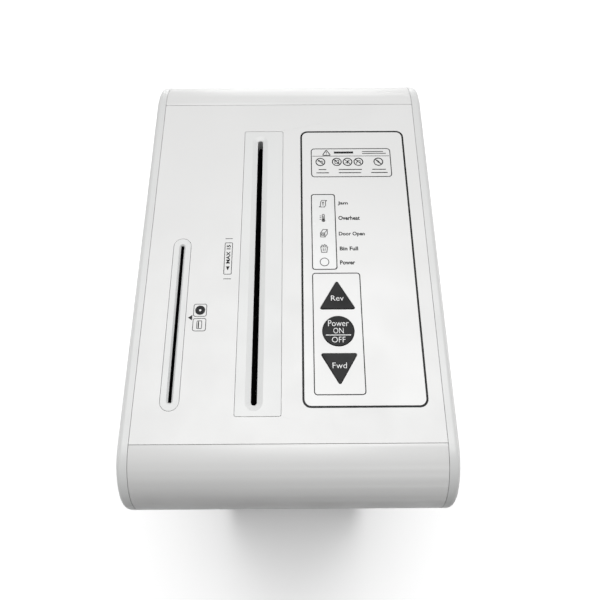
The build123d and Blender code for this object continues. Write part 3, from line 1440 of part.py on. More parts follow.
# ---- screws --------------------------------------------------------------------------------------
screw_inset = 6.0
screw_end_inset = 14.0
screw_head_radius = 3.4
screw_head_height = 1.8
screw_dome = 1.2
screw_slot = (3.2, 0.7)
screw_slot_depth = 0.8
screw_rows = (cabinet_bottom + screw_end_inset, (cabinet_bottom + head_bottom) / 2,
              head_bottom - screw_end_inset)
screw_places = [(side * (inner_half - screw_inset), z) for side in (-1, 1) for z in screw_rows]
screw_face_y = rear_panel_y + screw_head_height
with BuildPart() as cabinet_screws:
    with BuildSketch(at_y(screw_face_y)):
        with Locations(*screw_places):
            Circle(screw_head_radius)
    extrude(amount=screw_head_height)
    heads = cabinet_screws.faces().filter_by(Axis.Y).sort_by(Axis.Y)[-len(screw_places):]
    fillet(heads.edges(), screw_dome)
    with BuildSketch(at_y(screw_face_y)):
        with Locations(*screw_places):
            Rectangle(*screw_slot)
            Rectangle(*screw_slot, rotation=90)
    extrude(amount=screw_slot_depth, mode=Mode.SUBTRACT)
save(cabinet_screws.part, "cabinet_screws")
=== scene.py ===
"""Office paper shredder: its finishes, printed panel, castor wheels, light and camera."""
import json
import math

import bpy
import numpy as np
from mathutils import Euler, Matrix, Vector


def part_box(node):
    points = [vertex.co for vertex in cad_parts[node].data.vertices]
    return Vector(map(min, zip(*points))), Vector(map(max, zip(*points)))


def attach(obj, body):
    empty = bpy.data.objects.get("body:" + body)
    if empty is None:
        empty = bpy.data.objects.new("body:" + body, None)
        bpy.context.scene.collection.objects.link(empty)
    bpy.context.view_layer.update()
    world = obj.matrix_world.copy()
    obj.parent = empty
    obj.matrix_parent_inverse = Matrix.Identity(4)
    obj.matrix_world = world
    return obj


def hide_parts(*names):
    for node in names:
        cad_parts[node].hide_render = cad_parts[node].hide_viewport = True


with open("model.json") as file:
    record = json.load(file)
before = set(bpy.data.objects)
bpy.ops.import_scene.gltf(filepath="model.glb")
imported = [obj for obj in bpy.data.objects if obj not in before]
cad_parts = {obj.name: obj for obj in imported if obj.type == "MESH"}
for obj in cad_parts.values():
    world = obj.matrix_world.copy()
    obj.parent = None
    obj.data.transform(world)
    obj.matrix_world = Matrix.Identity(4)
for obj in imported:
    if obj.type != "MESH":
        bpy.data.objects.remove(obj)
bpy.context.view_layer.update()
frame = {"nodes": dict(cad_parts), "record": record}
nodes = frame["nodes"]
MM = 0.001
INK = 0.06 * MM             # how far printing stands above the surface it is on


def millimetres(node):
    """Lowest and highest corners of a CAD node in millimetres."""
    low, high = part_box(node)
    return np.array(low) / MM, np.array(high) / MM


deck_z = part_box("top_panel")[1].z
key_top_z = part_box("power_key")[1].z
deck_low, deck_high = millimetres("top_panel")
deck_y = (deck_low[1] + deck_high[1]) / 2      # printed positions count from the deck's middle


# ---- finishes ------------------------------------------------------------------------------------
class Finish:
    """A node material being put together, with short calls for the nodes that finishes share."""

    def __init__(self, name, colour, roughness, metallic=0.0):
        self.material = bpy.data.materials.new(name)
        self.material.use_nodes = True
        self.tree = self.material.node_tree
        self.shader = self.tree.nodes["Principled BSDF"]
        self.place = self.add("ShaderNodeTexCoord").outputs["Object"]
        self.colour = (*colour, 1.0)
        self.shader.inputs["Base Color"].default_value = self.colour
        self.shader.inputs["Roughness"].default_value = roughness
        self.shader.inputs["Metallic"].default_value = metallic
        self.roughness = roughness
        self.normal = None
        self.material.diffuse_color = self.colour

    def add(self, kind, **settings):
        """A new node with its settings."""
        node = self.tree.nodes.new(kind)
        for key, value in settings.items():
            setattr(node, key, value)
        return node

    def link(self, output, target):
        self.tree.links.new(output, target)

    def noise(self, scale, detail=2.0, stretch=(1.0, 1.0, 1.0)):
        """Noise in object coordinates, in cycles per metre, drawn out along an axis by a small stretch."""
        mapping = self.add("ShaderNodeMapping")
        mapping.inputs["Scale"].default_value = stretch
        self.link(self.place, mapping.inputs["Vector"])
        texture = self.add("ShaderNodeTexNoise")
        texture.inputs["Scale"].default_value = scale
        texture.inputs["Detail"].default_value = detail
        self.link(mapping.outputs["Vector"], texture.inputs["Vector"])
        return texture.outputs["Fac"]

    def math(self, operation, first, second=0.0):
        """A sum, product, step or the like of one output and a number or a second output."""
        node = self.add("ShaderNodeMath", operation=operation)
        self.link(first, node.inputs[0])
        if isinstance(second, float):
            node.inputs[1].default_value = second
        else:
            self.link(second, node.inputs[1])
        return node.outputs[0]

    def remap(self, value, low, high, start=0.3, end=0.7):
        """Carries values between start and end over to between low and high."""
        node = self.add("ShaderNodeMapRange")
        node.inputs["From Min"].default_value = start
        node.inputs["From Max"].default_value = end
        node.inputs["To Min"].default_value = low
        node.inputs["To Max"].default_value = high
        self.link(value, node.inputs["Value"])
        return node.outputs["Result"]

    def tint(self, value, other, low=0.0, high=1.0, start=0.3, end=0.7):
        """Mixes the colour so far with another one where the value is high."""
        node = self.add("ShaderNodeMix", data_type="RGBA")
        self.link(self.remap(value, low, high, start, end), node.inputs[0])
        socket = self.shader.inputs["Base Color"]
        if socket.is_linked:
            self.link(socket.links[0].from_socket, node.inputs[6])
        else:
            node.inputs[6].default_value = self.colour
        node.inputs[7].default_value = (*other, 1.0)
        self.link(node.outputs[2], socket)
        return self

    def vary_roughness(self, value, spread):
        """Spreads the roughness to both sides of its own figure."""
        result = self.remap(value, self.roughness - spread, self.roughness + spread)
        self.link(result, self.shader.inputs["Roughness"])
        return self

    def bump(self, value, depth, strength=1.0):
        """Raises the surface by up to depth metres where the value is high, over any earlier bump."""
        node = self.add("ShaderNodeBump")
        node.inputs["Strength"].default_value = strength
        node.inputs["Distance"].default_value = depth
        self.link(value, node.inputs["Height"])
        if self.normal is not None:
            self.link(self.normal, node.inputs["Normal"])
        self.normal = node.outputs["Normal"]
        self.link(self.normal, self.shader.inputs["Normal"])
        return self


def moulded_plastic(name, colour, roughness=0.42, grain=0.02 * MM, grime=0.05):
    """Injection-moulded plastic: spark-eroded grain, faint flow marks and slightly uneven gloss."""
    finish = Finish(name, colour, roughness)
    broad = finish.noise(9.0, 3.0)
    finish.tint(broad, [c * (1.0 - grime) for c in colour], 0.0, 1.0)
    finish.vary_roughness(finish.noise(35.0, 4.0), 0.05)
    finish.bump(finish.noise(2600.0, 2.0), grain, 0.35)
    finish.bump(finish.noise(700.0, 2.0), grain, 0.12)
    return finish.material


def key_moulding(name, colour):
    """Dark key tops: dull, fine-grained plastic that takes little shine."""
    finish = Finish(name, colour, 0.5)
    finish.shader.inputs["Specular IOR Level"].default_value = 0.18
    finish.tint(finish.noise(60.0, 3.0), [c * 0.8 for c in colour])
    finish.vary_roughness(finish.noise(90.0, 3.0), 0.05)
    finish.bump(finish.noise(2400.0, 2.0), 0.015 * MM, 0.3)
    return finish.material


def slot_region(node, end_inset, depth):
    """The part of an insert's slot below a depth, where painted shade goes, as middle and half sizes in
    plan and a height.

    The guide's foot is a ring round the slot, so the ring's box less the guide's wall is the slot.
    """
    mesh = nodes[node].data
    points = np.zeros(len(mesh.vertices) * 3)
    mesh.vertices.foreach_get("co", points)
    points = points.reshape(-1, 3)
    foot = points[points[:, 2] < points[:, 2].min() + MM]
    low, high = foot.min(0), foot.max(0)
    guide_wall = 1.4 * MM
    half = (high - low)[:2] / 2 - guide_wall
    return (low + high)[:2] / 2, (half[0], half[1] - end_inset), points[:, 2].max() - depth


def slot_moulding_painted_shade(name, colour, regions):
    """The slot inserts' plastic: pale on top, with painted shade (near black) inside each region of the
    slots, standing in for the shade deep in the slots.

    A region is a mask over the object's own place: the product of three steps, near its middle
    across, near its middle along, and under its height.
    """
    finish = Finish(name, colour, 0.42)
    finish.tint(finish.noise(9.0, 3.0), [c * 0.97 for c in colour])
    apart = finish.add("ShaderNodeSeparateXYZ")
    finish.link(finish.place, apart.inputs["Vector"])
    for middle, half, height in regions:
        steps = [finish.math("LESS_THAN", apart.outputs["Z"], float(height))]
        for axis in (0, 1):
            offset = finish.math("SUBTRACT", apart.outputs[axis], float(middle[axis]))
            steps.append(finish.math("LESS_THAN", finish.math("ABSOLUTE", offset), float(half[axis])))
        painted_shade_mask = finish.math("MULTIPLY", finish.math("MULTIPLY", steps[0], steps[1]), steps[2])
        # painted shade: below each region's height the slot walls are coloured near black where shade falls
        finish.tint(painted_shade_mask, (0.006, 0.0065, 0.007), 0.0, 1.0, 0.0, 1.0)
    finish.vary_roughness(finish.noise(35.0, 4.0), 0.05)
    finish.bump(finish.noise(2600.0, 2.0), 0.02 * MM, 0.35)
    return finish.material


def clear_plastic(name, colour, transmission, roughness=0.12):
    """Tinted clear plastic with faint ripples from its mould."""
    finish = Finish(name, colour, roughness)
    finish.shader.inputs["Transmission Weight"].default_value = transmission
    finish.shader.inputs["IOR"].default_value = 1.49
    finish.vary_roughness(finish.noise(60.0, 3.0), 0.04)
    finish.tint(finish.noise(14.0, 2.0), [c * 0.9 for c in colour])
    finish.bump(finish.noise(40.0, 2.0), 0.1 * MM, 0.15)
    return finish.material


def powder_coat(name, colour, roughness=0.5):
    """Powder-coated sheet: orange-peel ripple, fine sparkle grain and a few dull patches."""
    finish = Finish(name, colour, roughness)
    finish.tint(finish.noise(7.0, 3.0), [c * 0.95 for c in colour])
    finish.vary_roughness(finish.noise(24.0, 4.0), 0.07)
    finish.bump(finish.noise(420.0, 3.0), 0.05 * MM, 0.3)
    finish.bump(finish.noise(2400.0, 2.0), 0.02 * MM, 0.3)
    return finish.material


def machined_steel(name, colour, along, roughness=0.32):
    """Machined steel: fine tool marks drawn out along one axis, with darker oily patches."""
    stretch = [0.06 if axis == along else 1.0 for axis in "XYZ"]
    finish = Finish(name, colour, roughness, metallic=1.0)
    marks = finish.noise(1500.0, 3.0, stretch)
    finish.vary_roughness(marks, 0.12)
    finish.tint(finish.noise(45.0, 3.0), [c * 0.6 for c in colour], 0.0, 0.7)
    finish.bump(marks, 0.02 * MM, 0.4)
    return finish.material


def circuit_board(name, colour):
    """Solder-masked board: darker copper tracks show through as a lattice of small cells."""
    finish = Finish(name, colour, 0.35)
    cells = finish.add("ShaderNodeTexBrick")
    cells.inputs["Scale"].default_value = 160.0
    cells.inputs["Mortar Size"].default_value = 0.03
    finish.link(finish.place, cells.inputs["Vector"])
    finish.tint(cells.outputs["Fac"], [c * 0.55 for c in colour], 0.0, 1.0, 0.0, 1.0)
    finish.vary_roughness(finish.noise(90.0, 2.0), 0.08)
    finish.bump(cells.outputs["Fac"], 0.05 * MM, 0.3)
    return finish.material


def tread_rubber(name, colour):
    """Castor tread: matt rubber with scuffs and dust in its grain."""
    finish = Finish(name, colour, 0.72)
    finish.tint(finish.noise(60.0, 4.0), (0.16, 0.155, 0.145), 0.0, 0.35, 0.5, 0.75)
    finish.vary_roughness(finish.noise(110.0, 3.0), 0.1)
    finish.bump(finish.noise(1500.0, 3.0), 0.05 * MM, 0.5)
    return finish.material


def print_ink(name, colour, roughness=0.45):
    """Screen-printed ink: nearly even, a little thinner in places."""
    finish = Finish(name, colour, roughness)
    finish.shader.inputs["Specular IOR Level"].default_value = 0.15
    finish.tint(finish.noise(900.0, 2.0), [min(1.0, c * 1.15 + 0.004) for c in colour])
    finish.vary_roughness(finish.noise(400.0, 2.0), 0.06)
    finish.bump(finish.noise(3000.0, 2.0), 0.01 * MM, 0.3)
    return finish.material


HEAD_GREY = (0.715, 0.715, 0.71)
# regions inside the slots that get painted shade
painted_shade_regions = [
    slot_region("paper_throat", 2.4 * MM, 1.35 * MM),
    slot_region("paper_throat", -1.0 * MM, 12.0 * MM),
    slot_region("cd_throat", 0.0, 0.9 * MM),
]
finishes = {
    "head_plastic": moulded_plastic("head plastic", HEAD_GREY, 0.4, grime=0.02),
    "cheek_plastic": moulded_plastic("side cover plastic", (0.66, 0.665, 0.66), 0.38, grime=0.03),
    "insert_plastic": slot_moulding_painted_shade("slot insert plastic with painted shade", (0.70, 0.705, 0.70), painted_shade_regions),
    "panel_film": moulded_plastic("printed film", (0.72, 0.72, 0.715), 0.34, 0.01 * MM, 0.015),
    "key_plastic": key_moulding("key plastic", (0.0095, 0.0098, 0.0105)),
    "window_plastic": moulded_plastic("indicator film", (0.73, 0.735, 0.73), 0.25, 0.005 * MM, 0.02),
    "smoked_plastic": clear_plastic("smoked plastic", (0.05, 0.055, 0.06), 0.35),
    "cabinet_paint": powder_coat("cabinet powder coat", (0.66, 0.665, 0.66)),
    "bin_plastic": moulded_plastic("bin plastic", (0.10, 0.104, 0.108), 0.5, 0.04 * MM, 0.25),
    "front_plastic": moulded_plastic("bin front plastic", (0.74, 0.74, 0.735), 0.42, 0.03 * MM, 0.03),
    "cutter_steel": machined_steel("oiled cutter steel", (0.42, 0.42, 0.41), "Y"),
    "plate_steel": machined_steel("zinc plate", (0.60, 0.61, 0.62), "Z", 0.38),
    "bush_bronze": machined_steel("sintered bronze", (0.62, 0.44, 0.20), "Y", 0.45),
    "comb_plastic": moulded_plastic("black comb plastic", (0.05, 0.05, 0.053), 0.5, 0.04 * MM, 0.3),
    "gear_nylon": moulded_plastic("gear nylon", (0.80, 0.78, 0.70), 0.4, 0.02 * MM, 0.1),
    "motor_paint": powder_coat("motor paint", (0.06, 0.065, 0.07), 0.4),
    "board_green": circuit_board("circuit board", (0.03, 0.20, 0.09)),
    "black_plastic": moulded_plastic("black fitting plastic", (0.028, 0.028, 0.03), 0.42, 0.03 * MM, 0.3),
    "castor_plastic": moulded_plastic("castor nylon", (0.032, 0.032, 0.035), 0.38, 0.03 * MM, 0.3),
    "wheel_rubber": tread_rubber("castor tread", (0.055, 0.055, 0.057)),
    "screw_steel": machined_steel("plated screw", (0.58, 0.58, 0.57), "Y", 0.3),
}
dark_ink = print_ink("black ink", (0.006, 0.0065, 0.007))
line_ink = print_ink("grey line ink", (0.015, 0.015, 0.016))
pale_ink = print_ink("pale icon ink", (0.12, 0.12, 0.12))
white_ink = print_ink("white ink", (0.80, 0.80, 0.80), 0.4)

slot_of = {part["node"]: part["material_slot"] for part in frame["record"]["subparts"]}
soft_edges = {
    "top_panel": 0.12, "front_fascia": 0.12, "rear_fascia": 0.12, "paper_throat": 0.12, "cd_throat": 0.12,
    "castor_sockets": 0.3, "bin_front": 0.4, "rear_panel": 0.3, "socket_panel": 0.3, "head_base": 0.3,
    "left_side_panel": 0.4, "right_side_panel": 0.4, "waste_bin": 0.4, "base_plate": 0.4,
}
for node, piece in nodes.items():
    piece.data.materials.clear()
    piece.data.materials.append(finishes[slot_of[node]])
    if node in soft_edges:
        weld = piece.modifiers.new("weld", "WELD")
        weld.merge_threshold = 0.002 * MM
        bevel = piece.modifiers.new("soft edge", "BEVEL")
        bevel.width = soft_edges[node] * MM
        bevel.segments = 2
        bevel.limit_method = "ANGLE"
        bevel.angle_limit = math.radians(40)
        bevel.harden_normals = True


# ---- surfaces ------------------------------------------------------------------------------------
def grid_faces(rows, columns, close_rows=False, close_columns=False):
    """Quads of a grid of points, row by row, joined end to start where it closes."""
    r = np.arange(rows if close_rows else rows - 1)
    c = np.arange(columns if close_columns else columns - 1)
    r, c = np.meshgrid(r, c, indexing="ij")
    r2, c2 = (r + 1) % rows, (c + 1) % columns
    quads = np.stack([r * columns + c, r2 * columns + c, r2 * columns + c2, r * columns + c2], axis=-1)
    return quads.reshape(-1, 4)


def build(name, shapes, material, body, smooth=False, shift=0.0):
    """Makes one piece of several (points, faces) shapes in millimetres, moved by shift along Y."""
    points, faces, start = [], [], 0
    for verts, quads in shapes:
        points.append(np.asarray(verts, float))
        faces.extend([[int(i) + start for i in quad] for quad in quads])
        start += len(verts)
    points = np.concatenate(points) + (0.0, shift, 0.0)
    mesh = bpy.data.meshes.new(name)
    mesh.from_pydata((points * MM).tolist(), [], faces)
    mesh.validate()
    mesh.polygons.foreach_set("use_smooth", [smooth] * len(mesh.polygons))
    mesh.materials.append(material)
    mesh.update()
    piece = bpy.data.objects.new(name, mesh)
    bpy.context.scene.collection.objects.link(piece)
    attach(piece, body)
    return piece


def line(path, width, z, closed=True):
    """A printed line: a flat-topped bead of ink carried along a path.

    At each point the path's two neighbours give a direction, and the point is set off to both sides
    by half the width, lengthened at a corner so that the line keeps its width.
    """
    path = np.asarray(path, float)
    ahead = np.roll(path, -1, 0) - path
    behind = path - np.roll(path, 1, 0)
    if not closed:
        ahead[-1], behind[0] = behind[-1], ahead[0]
    ahead /= np.linalg.norm(ahead, axis=1)[:, None]
    behind /= np.linalg.norm(behind, axis=1)[:, None]
    normal_a = np.stack([-ahead[:, 1], ahead[:, 0]], 1)
    normal_b = np.stack([-behind[:, 1], behind[:, 0]], 1)
    side = normal_a + normal_b
    side /= np.maximum((side * normal_a).sum(1), 0.5)[:, None]
    across = np.array([-0.5, -0.42, 0.42, 0.5]) * width
    height = z / MM + np.array([0.0, 1.0, 1.0, 0.0]) * INK / MM
    ring = path[:, None, :] + side[:, None, :] * across[None, :, None]
    points = np.concatenate([ring, np.broadcast_to(height[None, :, None], (*ring.shape[:2], 1))], 2)
    faces = grid_faces(len(path), 4, closed, True).tolist()
    if not closed:
        last = (len(path) - 1) * 4
        faces += [[0, 1, 2, 3], [last + 3, last + 2, last + 1, last]]
    return points.reshape(-1, 3), [face[::-1] for face in faces]


def patch(outline, z):
    """A printed patch: its outline shrunk in rings towards the middle, with a bevelled rim of ink."""
    outline = np.asarray(outline, float)
    centre = outline.mean(0)
    share = np.array([1.0, 1.0, 0.5, 0.02])
    rim = np.array([0.0, 0.04, 0.04, 0.04])
    reach = np.linalg.norm(outline - centre, axis=1)[None, :, None]
    scale = np.maximum(share[:, None, None] - rim[:, None, None] / reach, 0.0)
    ring = centre + (outline - centre)[None] * scale
    height = z / MM + np.array([0.0, 1.0, 1.0, 1.0]) * INK / MM
    points = np.concatenate([ring, np.broadcast_to(height[:, None, None], (*ring.shape[:2], 1))], 2)
    count = len(outline)
    faces = grid_faces(4, count, False, True).tolist()
    faces = [face[::-1] for face in faces]
    faces.append(list(range(3 * count, 4 * count)))
    faces.append(list(range(count))[::-1])
    return points.reshape(-1, 3), faces


def rounded(points, radius, steps=6):
    """A polygon with each corner replaced by an arc: points go along the circle that meets both sides."""
    points = np.asarray(points, float)
    out = []
    for i, corner in enumerate(points):
        to_before = points[i - 1] - corner
        to_after = points[(i + 1) % len(points)] - corner
        to_before /= np.linalg.norm(to_before)
        to_after /= np.linalg.norm(to_after)
        half = math.acos(np.clip(to_before @ to_after, -1, 1)) / 2
        inward = (to_before + to_after) / np.linalg.norm(to_before + to_after)
        middle = corner + inward * radius / math.sin(half)
        first = corner + to_before * radius / math.tan(half) - middle
        last = corner + to_after * radius / math.tan(half) - middle
        turn = math.atan2(first[0] * last[1] - first[1] * last[0], first @ last)
        angles = np.linspace(0, turn, steps)
        cosine, sine = np.cos(angles), np.sin(angles)
        spin = np.stack([cosine, -sine, sine, cosine], 1).reshape(-1, 2, 2)
        out.append(middle + spin @ first)
    return np.concatenate(out)


def frame_path(x0, x1, y0, y1, radius):
    """The outline of a box with rounded corners."""
    return rounded([(x0, y0), (x1, y0), (x1, y1), (x0, y1)], radius)


def circle_path(x, y, radius, steps=40):
    """Points round a circle."""
    angle = np.linspace(0, 2 * math.pi, steps, endpoint=False)
    return np.stack([x + radius * np.cos(angle), y + radius * np.sin(angle)], 1)


def bar(x0, x1, y0, y1, z):
    """A printed rectangle."""
    return patch([(x0, y0), (x1, y0), (x1, y1), (x0, y1)], z)


def lettering(words, x0, x1, y0, y1, z, weight=0.03, upright=True):
    """Words as a thin solid, stretched to fill a box on the deck; turned to read upwards if not upright."""
    curve = bpy.data.curves.new("words", "FONT")
    curve.body = words
    curve.offset = weight
    curve.extrude = 0.02
    curve.resolution_u = 3
    holder = bpy.data.objects.new("words", curve)
    bpy.context.scene.collection.objects.link(holder)
    bpy.context.view_layer.update()
    mesh = bpy.data.meshes.new_from_object(holder.evaluated_get(bpy.context.evaluated_depsgraph_get()))
    bpy.data.objects.remove(holder)
    bpy.data.curves.remove(curve)
    points = np.zeros(len(mesh.vertices) * 3)
    mesh.vertices.foreach_get("co", points)
    points = points.reshape(-1, 3)
    faces = [list(face.vertices) for face in mesh.polygons]
    bpy.data.meshes.remove(mesh)
    if not upright:
        points = points[:, [1, 0, 2]] * (-1, 1, 1)
    low, high = points.min(0), points.max(0)
    share = (points - low) / (high - low)
    spot = np.array([x0, y0, z / MM - INK / MM / 2])
    return spot + share * np.array([x1 - x0, y1 - y0, INK / MM * 1.5]), faces


# ---- printing on the deck ------------------------------------------------------------------------
panel_low, panel_high = millimetres("control_panel")
frame_inset = 0.4
bold, fine, hair = 1.55, 0.78, 0.52     # widths of the printed lines
sign_line = 0.68                        # the lamp signs' line
legend_weight = -0.006                  # the key legends are lighter than the words on the panel


def print_on(name, shapes, ink, body="housing"):
    """Builds one piece of printing, with its positions counted from the deck's middle."""
    build(name, shapes, ink, body, shift=deck_y)


def print_panel_lines():
    """The panel's bold border, and the thin boxes round the pictograms, the lamps and the keys."""
    z = deck_z
    border = frame_path(panel_low[0] + frame_inset, panel_high[0] - frame_inset,
                        panel_low[1] + frame_inset - deck_y, panel_high[1] - frame_inset - deck_y, 5.6)
    print_on("panel_border", [line(border, bold, z)], dark_ink)
    shapes = [
        line(frame_path(19.1, 86.2, 70.8, 99.5, 2.6), fine, z),
        line([(20.0, 91.9), (85.4, 91.9)], hair, z, False),
        line(frame_path(18.6, 37.6, -15.3, 53.3, 2.2), fine, z),
        line(frame_path(18.5, 54.9, -114.0, -18.7, 2.2), fine, z),
    ]
    print_on("panel_boxes", shapes, line_ink)


def banned(x, y, radius, z, motif):
    """A plain prohibition ring with its slash over a small motif."""
    slash = np.array([[x - radius * 0.66, y + radius * 0.66], [x + radius * 0.66, y - radius * 0.66]])
    shapes = [line(circle_path(x, y, radius - 0.4), 0.9, z), line(slash, 0.8, z, False)]
    shapes += [line(np.array(stroke) * radius * 0.5 + (x, y), 0.65, z, False) for stroke in motif]
    return shapes


def print_pictograms():
    """A triangle with a stroke and dot, five rings with slashes, and short bars in place of captions."""
    z = deck_z
    square = [[(-0.8, -0.8), (0.8, -0.8), (0.8, 0.8), (-0.8, 0.8), (-0.8, -0.8)]]
    cross = [[(-0.9, -0.7), (0.9, 0.7)], [(-0.2, -1.0), (0.3, 1.0)]]
    wave = [[(-1.0, 0.2), (-0.4, 0.8), (0.1, 0.0), (0.6, 0.5), (1.0, -0.3)]]
    stool = [[(-0.8, -0.9), (-0.4, 0.6), (0.7, 0.6), (0.8, -0.9)]]
    spark = [[(-0.7, 0.9), (0.3, 0.1), (-0.3, -0.1), (0.7, -0.9)]]
    shapes = []
    for x, motif in ((26.7, wave), (40.6, square), (49.7, cross), (58.9, stool), (75.8, spark)):
        shapes += banned(x, 85.9, 4.1, z, motif)
    triangle = rounded([(28.6, 92.7), (35.4, 92.7), (32.0, 98.4)], 0.5)
    shapes.append(line(triangle, 0.75, z))
    shapes.append(bar(31.75, 32.25, 94.7, 96.7, z))
    shapes.append(bar(31.72, 32.28, 93.6, 94.2, z))
    print_on("pictograms", shapes, dark_ink)
    bars = [
        (38.4, 54.9, 94.5, 96.6), (62.4, 80.4, 96.1, 96.8), (62.4, 82.7, 94.2, 94.9),
        (25.1, 31.5, 77.7, 78.5), (23.2, 33.8, 74.4, 75.2), (42.0, 61.5, 77.7, 78.5),
        (41.9, 60.7, 74.4, 75.2), (70.2, 81.7, 77.7, 78.5), (69.2, 83.0, 74.4, 75.2),
    ]
    print_on("pictogram_bars", [bar(*spot, z) for spot in bars], line_ink)


def print_lamp_icons():
    """Five pale signs in the window: jammed sheet, thermometer, open box, basket and a ring."""
    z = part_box("indicator_window")[1].z
    x = 28.0
    s = sign_line
    sheet_left = [(x - 3.3, 41.4), (x - 2.2, 42.0), (x - 1.9, 46.2), (x - 0.9, 47.6), (x + 3.1, 47.6)]
    sheet_right = [(x + 3.1, 47.6), (x + 2.1, 46.4), (x + 2.0, 42.6), (x + 1.0, 41.2), (x - 3.3, 41.4)]
    jam = [
        line(sheet_left, s, z, False),
        line(sheet_right, s, z, False),
        line([(x, 42.6), (x, 45.2)], 0.7, z, False),
        patch([(x - 1.1, 45.0), (x + 1.1, 45.0), (x, 46.9)], z),
    ]
    heat = [
        line(rounded([(x - 0.8, 29.0), (x + 0.8, 29.0), (x + 0.8, 34.3), (x - 0.8, 34.3)], 0.75), s, z),
        patch(circle_path(x, 28.6, 1.5, 24), z),
        line([(x, 29.0), (x, 32.6)], 0.6, z, False),
    ]
    heat += [line([(x - 3.0, y), (x - 1.7, y)], s, z, False) for y in (29.6, 31.2, 32.8)]
    box = [
        line([(x - 2.6, 13.4), (x + 0.8, 13.4), (x + 0.8, 17.0), (x - 2.6, 17.0)], s, z),
        line([(x - 2.6, 17.0), (x - 0.6, 20.2), (x + 2.8, 20.2), (x + 0.8, 17.0)], s, z),
        line([(x + 0.8, 13.4), (x + 2.8, 16.0), (x + 2.8, 20.2)], s, z, False),
        line([(x - 1.8, 14.8), (x, 14.8), (x, 16.0), (x - 1.8, 16.0)], s, z),
    ]
    litter = [(x - 2.4, 4.8), (x - 1.5, 6.2), (x - 0.5, 5.2), (x + 0.5, 6.6), (x + 1.4, 5.2),
              (x + 2.3, 6.0)]
    basket = [
        line([(x - 2.7, 4.4), (x - 2.0, -0.4), (x + 2.0, -0.4), (x + 2.7, 4.4)], s, z, False),
        line([(x - 3.1, 4.4), (x + 3.1, 4.4)], s, z, False),
        line(litter, s, z, False),
        line([(x - 0.8, 3.2), (x - 0.6, 0.8)], s, z, False),
        line([(x + 0.8, 3.2), (x + 0.6, 0.8)], s, z, False),
    ]
    print_on("lamp_icons", jam + heat + box + basket, pale_ink)
    print_on("lamp_ring", [line(circle_path(x, -8.9, 3.4), 0.6, z)], line_ink)


def print_words():
    """The names of the lamps beside the window."""
    z = deck_z
    words = [
        ("Jam", 40.0, 48.3, 42.7, 46.5), ("Overheat", 40.1, 57.4, 28.9, 32.7),
        ("Door Open", 40.0, 60.7, 13.6, 18.0), ("Bin Full", 40.3, 54.7, 1.1, 4.6),
        ("Power", 40.1, 51.9, -11.3, -7.6),
    ]
    shapes = [lettering(text, *spot, z) for text, *spot in words]
    print_on("lamp_names", shapes, dark_ink)


def print_key_legends():
    """White legends on the three keys, each riding on its own key."""
    z = key_top_z
    x = (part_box("power_key")[0].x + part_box("power_key")[1].x) / 2 / MM
    rev = [lettering("Rev", x - 4.8, x + 4.8, -42.1, -37.9, z, legend_weight)]
    print_on("rev_legend", rev, white_ink, "rev_button")
    fwd = [lettering("Fwd", x - 5.1, x + 5.2, -94.9, -90.7, z, legend_weight)]
    print_on("fwd_legend", fwd, white_ink, "fwd_button")
    power = [
        lettering("Power", x - 7.5, x + 7.8, -62.7, -57.9, z, legend_weight),
        lettering("ON", x - 3.8, x + 3.8, -68.3, -64.0, z, legend_weight),
        bar(x - 9.4, x + 9.2, -69.9, -69.3, z),
        lettering("OFF", x - 5.0, x + 5.0, -75.4, -71.0, z, legend_weight),
    ]
    print_on("power_legend", power, white_ink, "power_button")


def print_slot_marks():
    """The sheet-limit mark beside the paper slot and the disc and card signs beside the disc slot."""
    z = deck_z
    shapes = [
        line(frame_path(-50.2, -44.4, -19.0, 8.5, 0.6), hair, z),
        line([(-50.2, 12.3), (-44.4, 12.3)], hair, z, False),
        line([(-50.2, -23.0), (-44.4, -23.0)], hair, z, False),
        patch([(-45.8, -12.2), (-48.8, -12.2), (-47.3, -15.8)], z),
        lettering("MAX 15", -48.9, -45.8, -9.8, 6.6, z, upright=False),
        line(frame_path(-71.2, -61.6, -53.9, -44.0, 1.5), 0.48, z),
        line(frame_path(-71.2, -61.6, -65.5, -55.6, 1.5), 0.48, z),
        patch([(-75.2, -54.9), (-72.0, -57.1), (-72.0, -52.7)], z),
        line(circle_path(-66.4, -48.95, 2.3), 2.9, z),
        line(frame_path(-68.2, -64.6, -63.6, -57.5, 0.5), 0.5, z),
        bar(-67.4, -66.6, -63.2, -57.9, z),
    ]
    print_on("slot_marks", shapes, dark_ink)


print_panel_lines()
print_pictograms()
print_lamp_icons()
print_words()
print_key_legends()
print_slot_marks()


# ---- castor wheels -------------------------------------------------------------------------------
wheel_width = 13.0
axle_radius = 3.0
axle_inset = 1.0            # from the wheels' outer faces in to the axle's ends


def castor_wheel(centre, width, radius, outward):
    """One wheel of a castor: a profile from the hub out over the tread, turned about the axle.

    Across the width the radius follows the profile; round the wheel the hub's face rises and falls
    as a raised cosine to give its ribs, and the tread has shallow grooves.
    """
    across = np.array([-0.5, -0.5, -0.5, -0.47, -0.40, -0.12, -0.10, 0.10, 0.12,
                       0.40, 0.47, 0.5, 0.44, 0.40, 0.40, 0.46, 0.46])
    share = np.array([0.0, 0.45, 0.86, 0.94, 1.0, 1.0, 0.975, 0.975, 1.0,
                      1.0, 0.94, 0.84, 0.78, 0.70, 0.36, 0.30, 0.0])
    angle = np.linspace(0, 2 * math.pi, 96, endpoint=False)
    a, _ = np.meshgrid(angle, across)
    profile_x = across[:, None] * width * outward + 0 * a
    ribs = np.isin(np.arange(len(across)), (13, 14))[:, None] * 0.05 * width * outward
    profile_x = profile_x + ribs * (0.5 + 0.5 * np.cos(8 * a)) ** 6
    profile_r = share[:, None] * radius + 0 * a
    y, z = centre[1] + profile_r * np.cos(a), centre[2] + profile_r * np.sin(a)
    points = np.stack([centre[0] + profile_x, y, z], 2)
    faces = grid_faces(len(across), len(angle), False, True)
    faces = faces if outward < 0 else faces[:, ::-1]
    return points.reshape(-1, 3), faces.tolist()


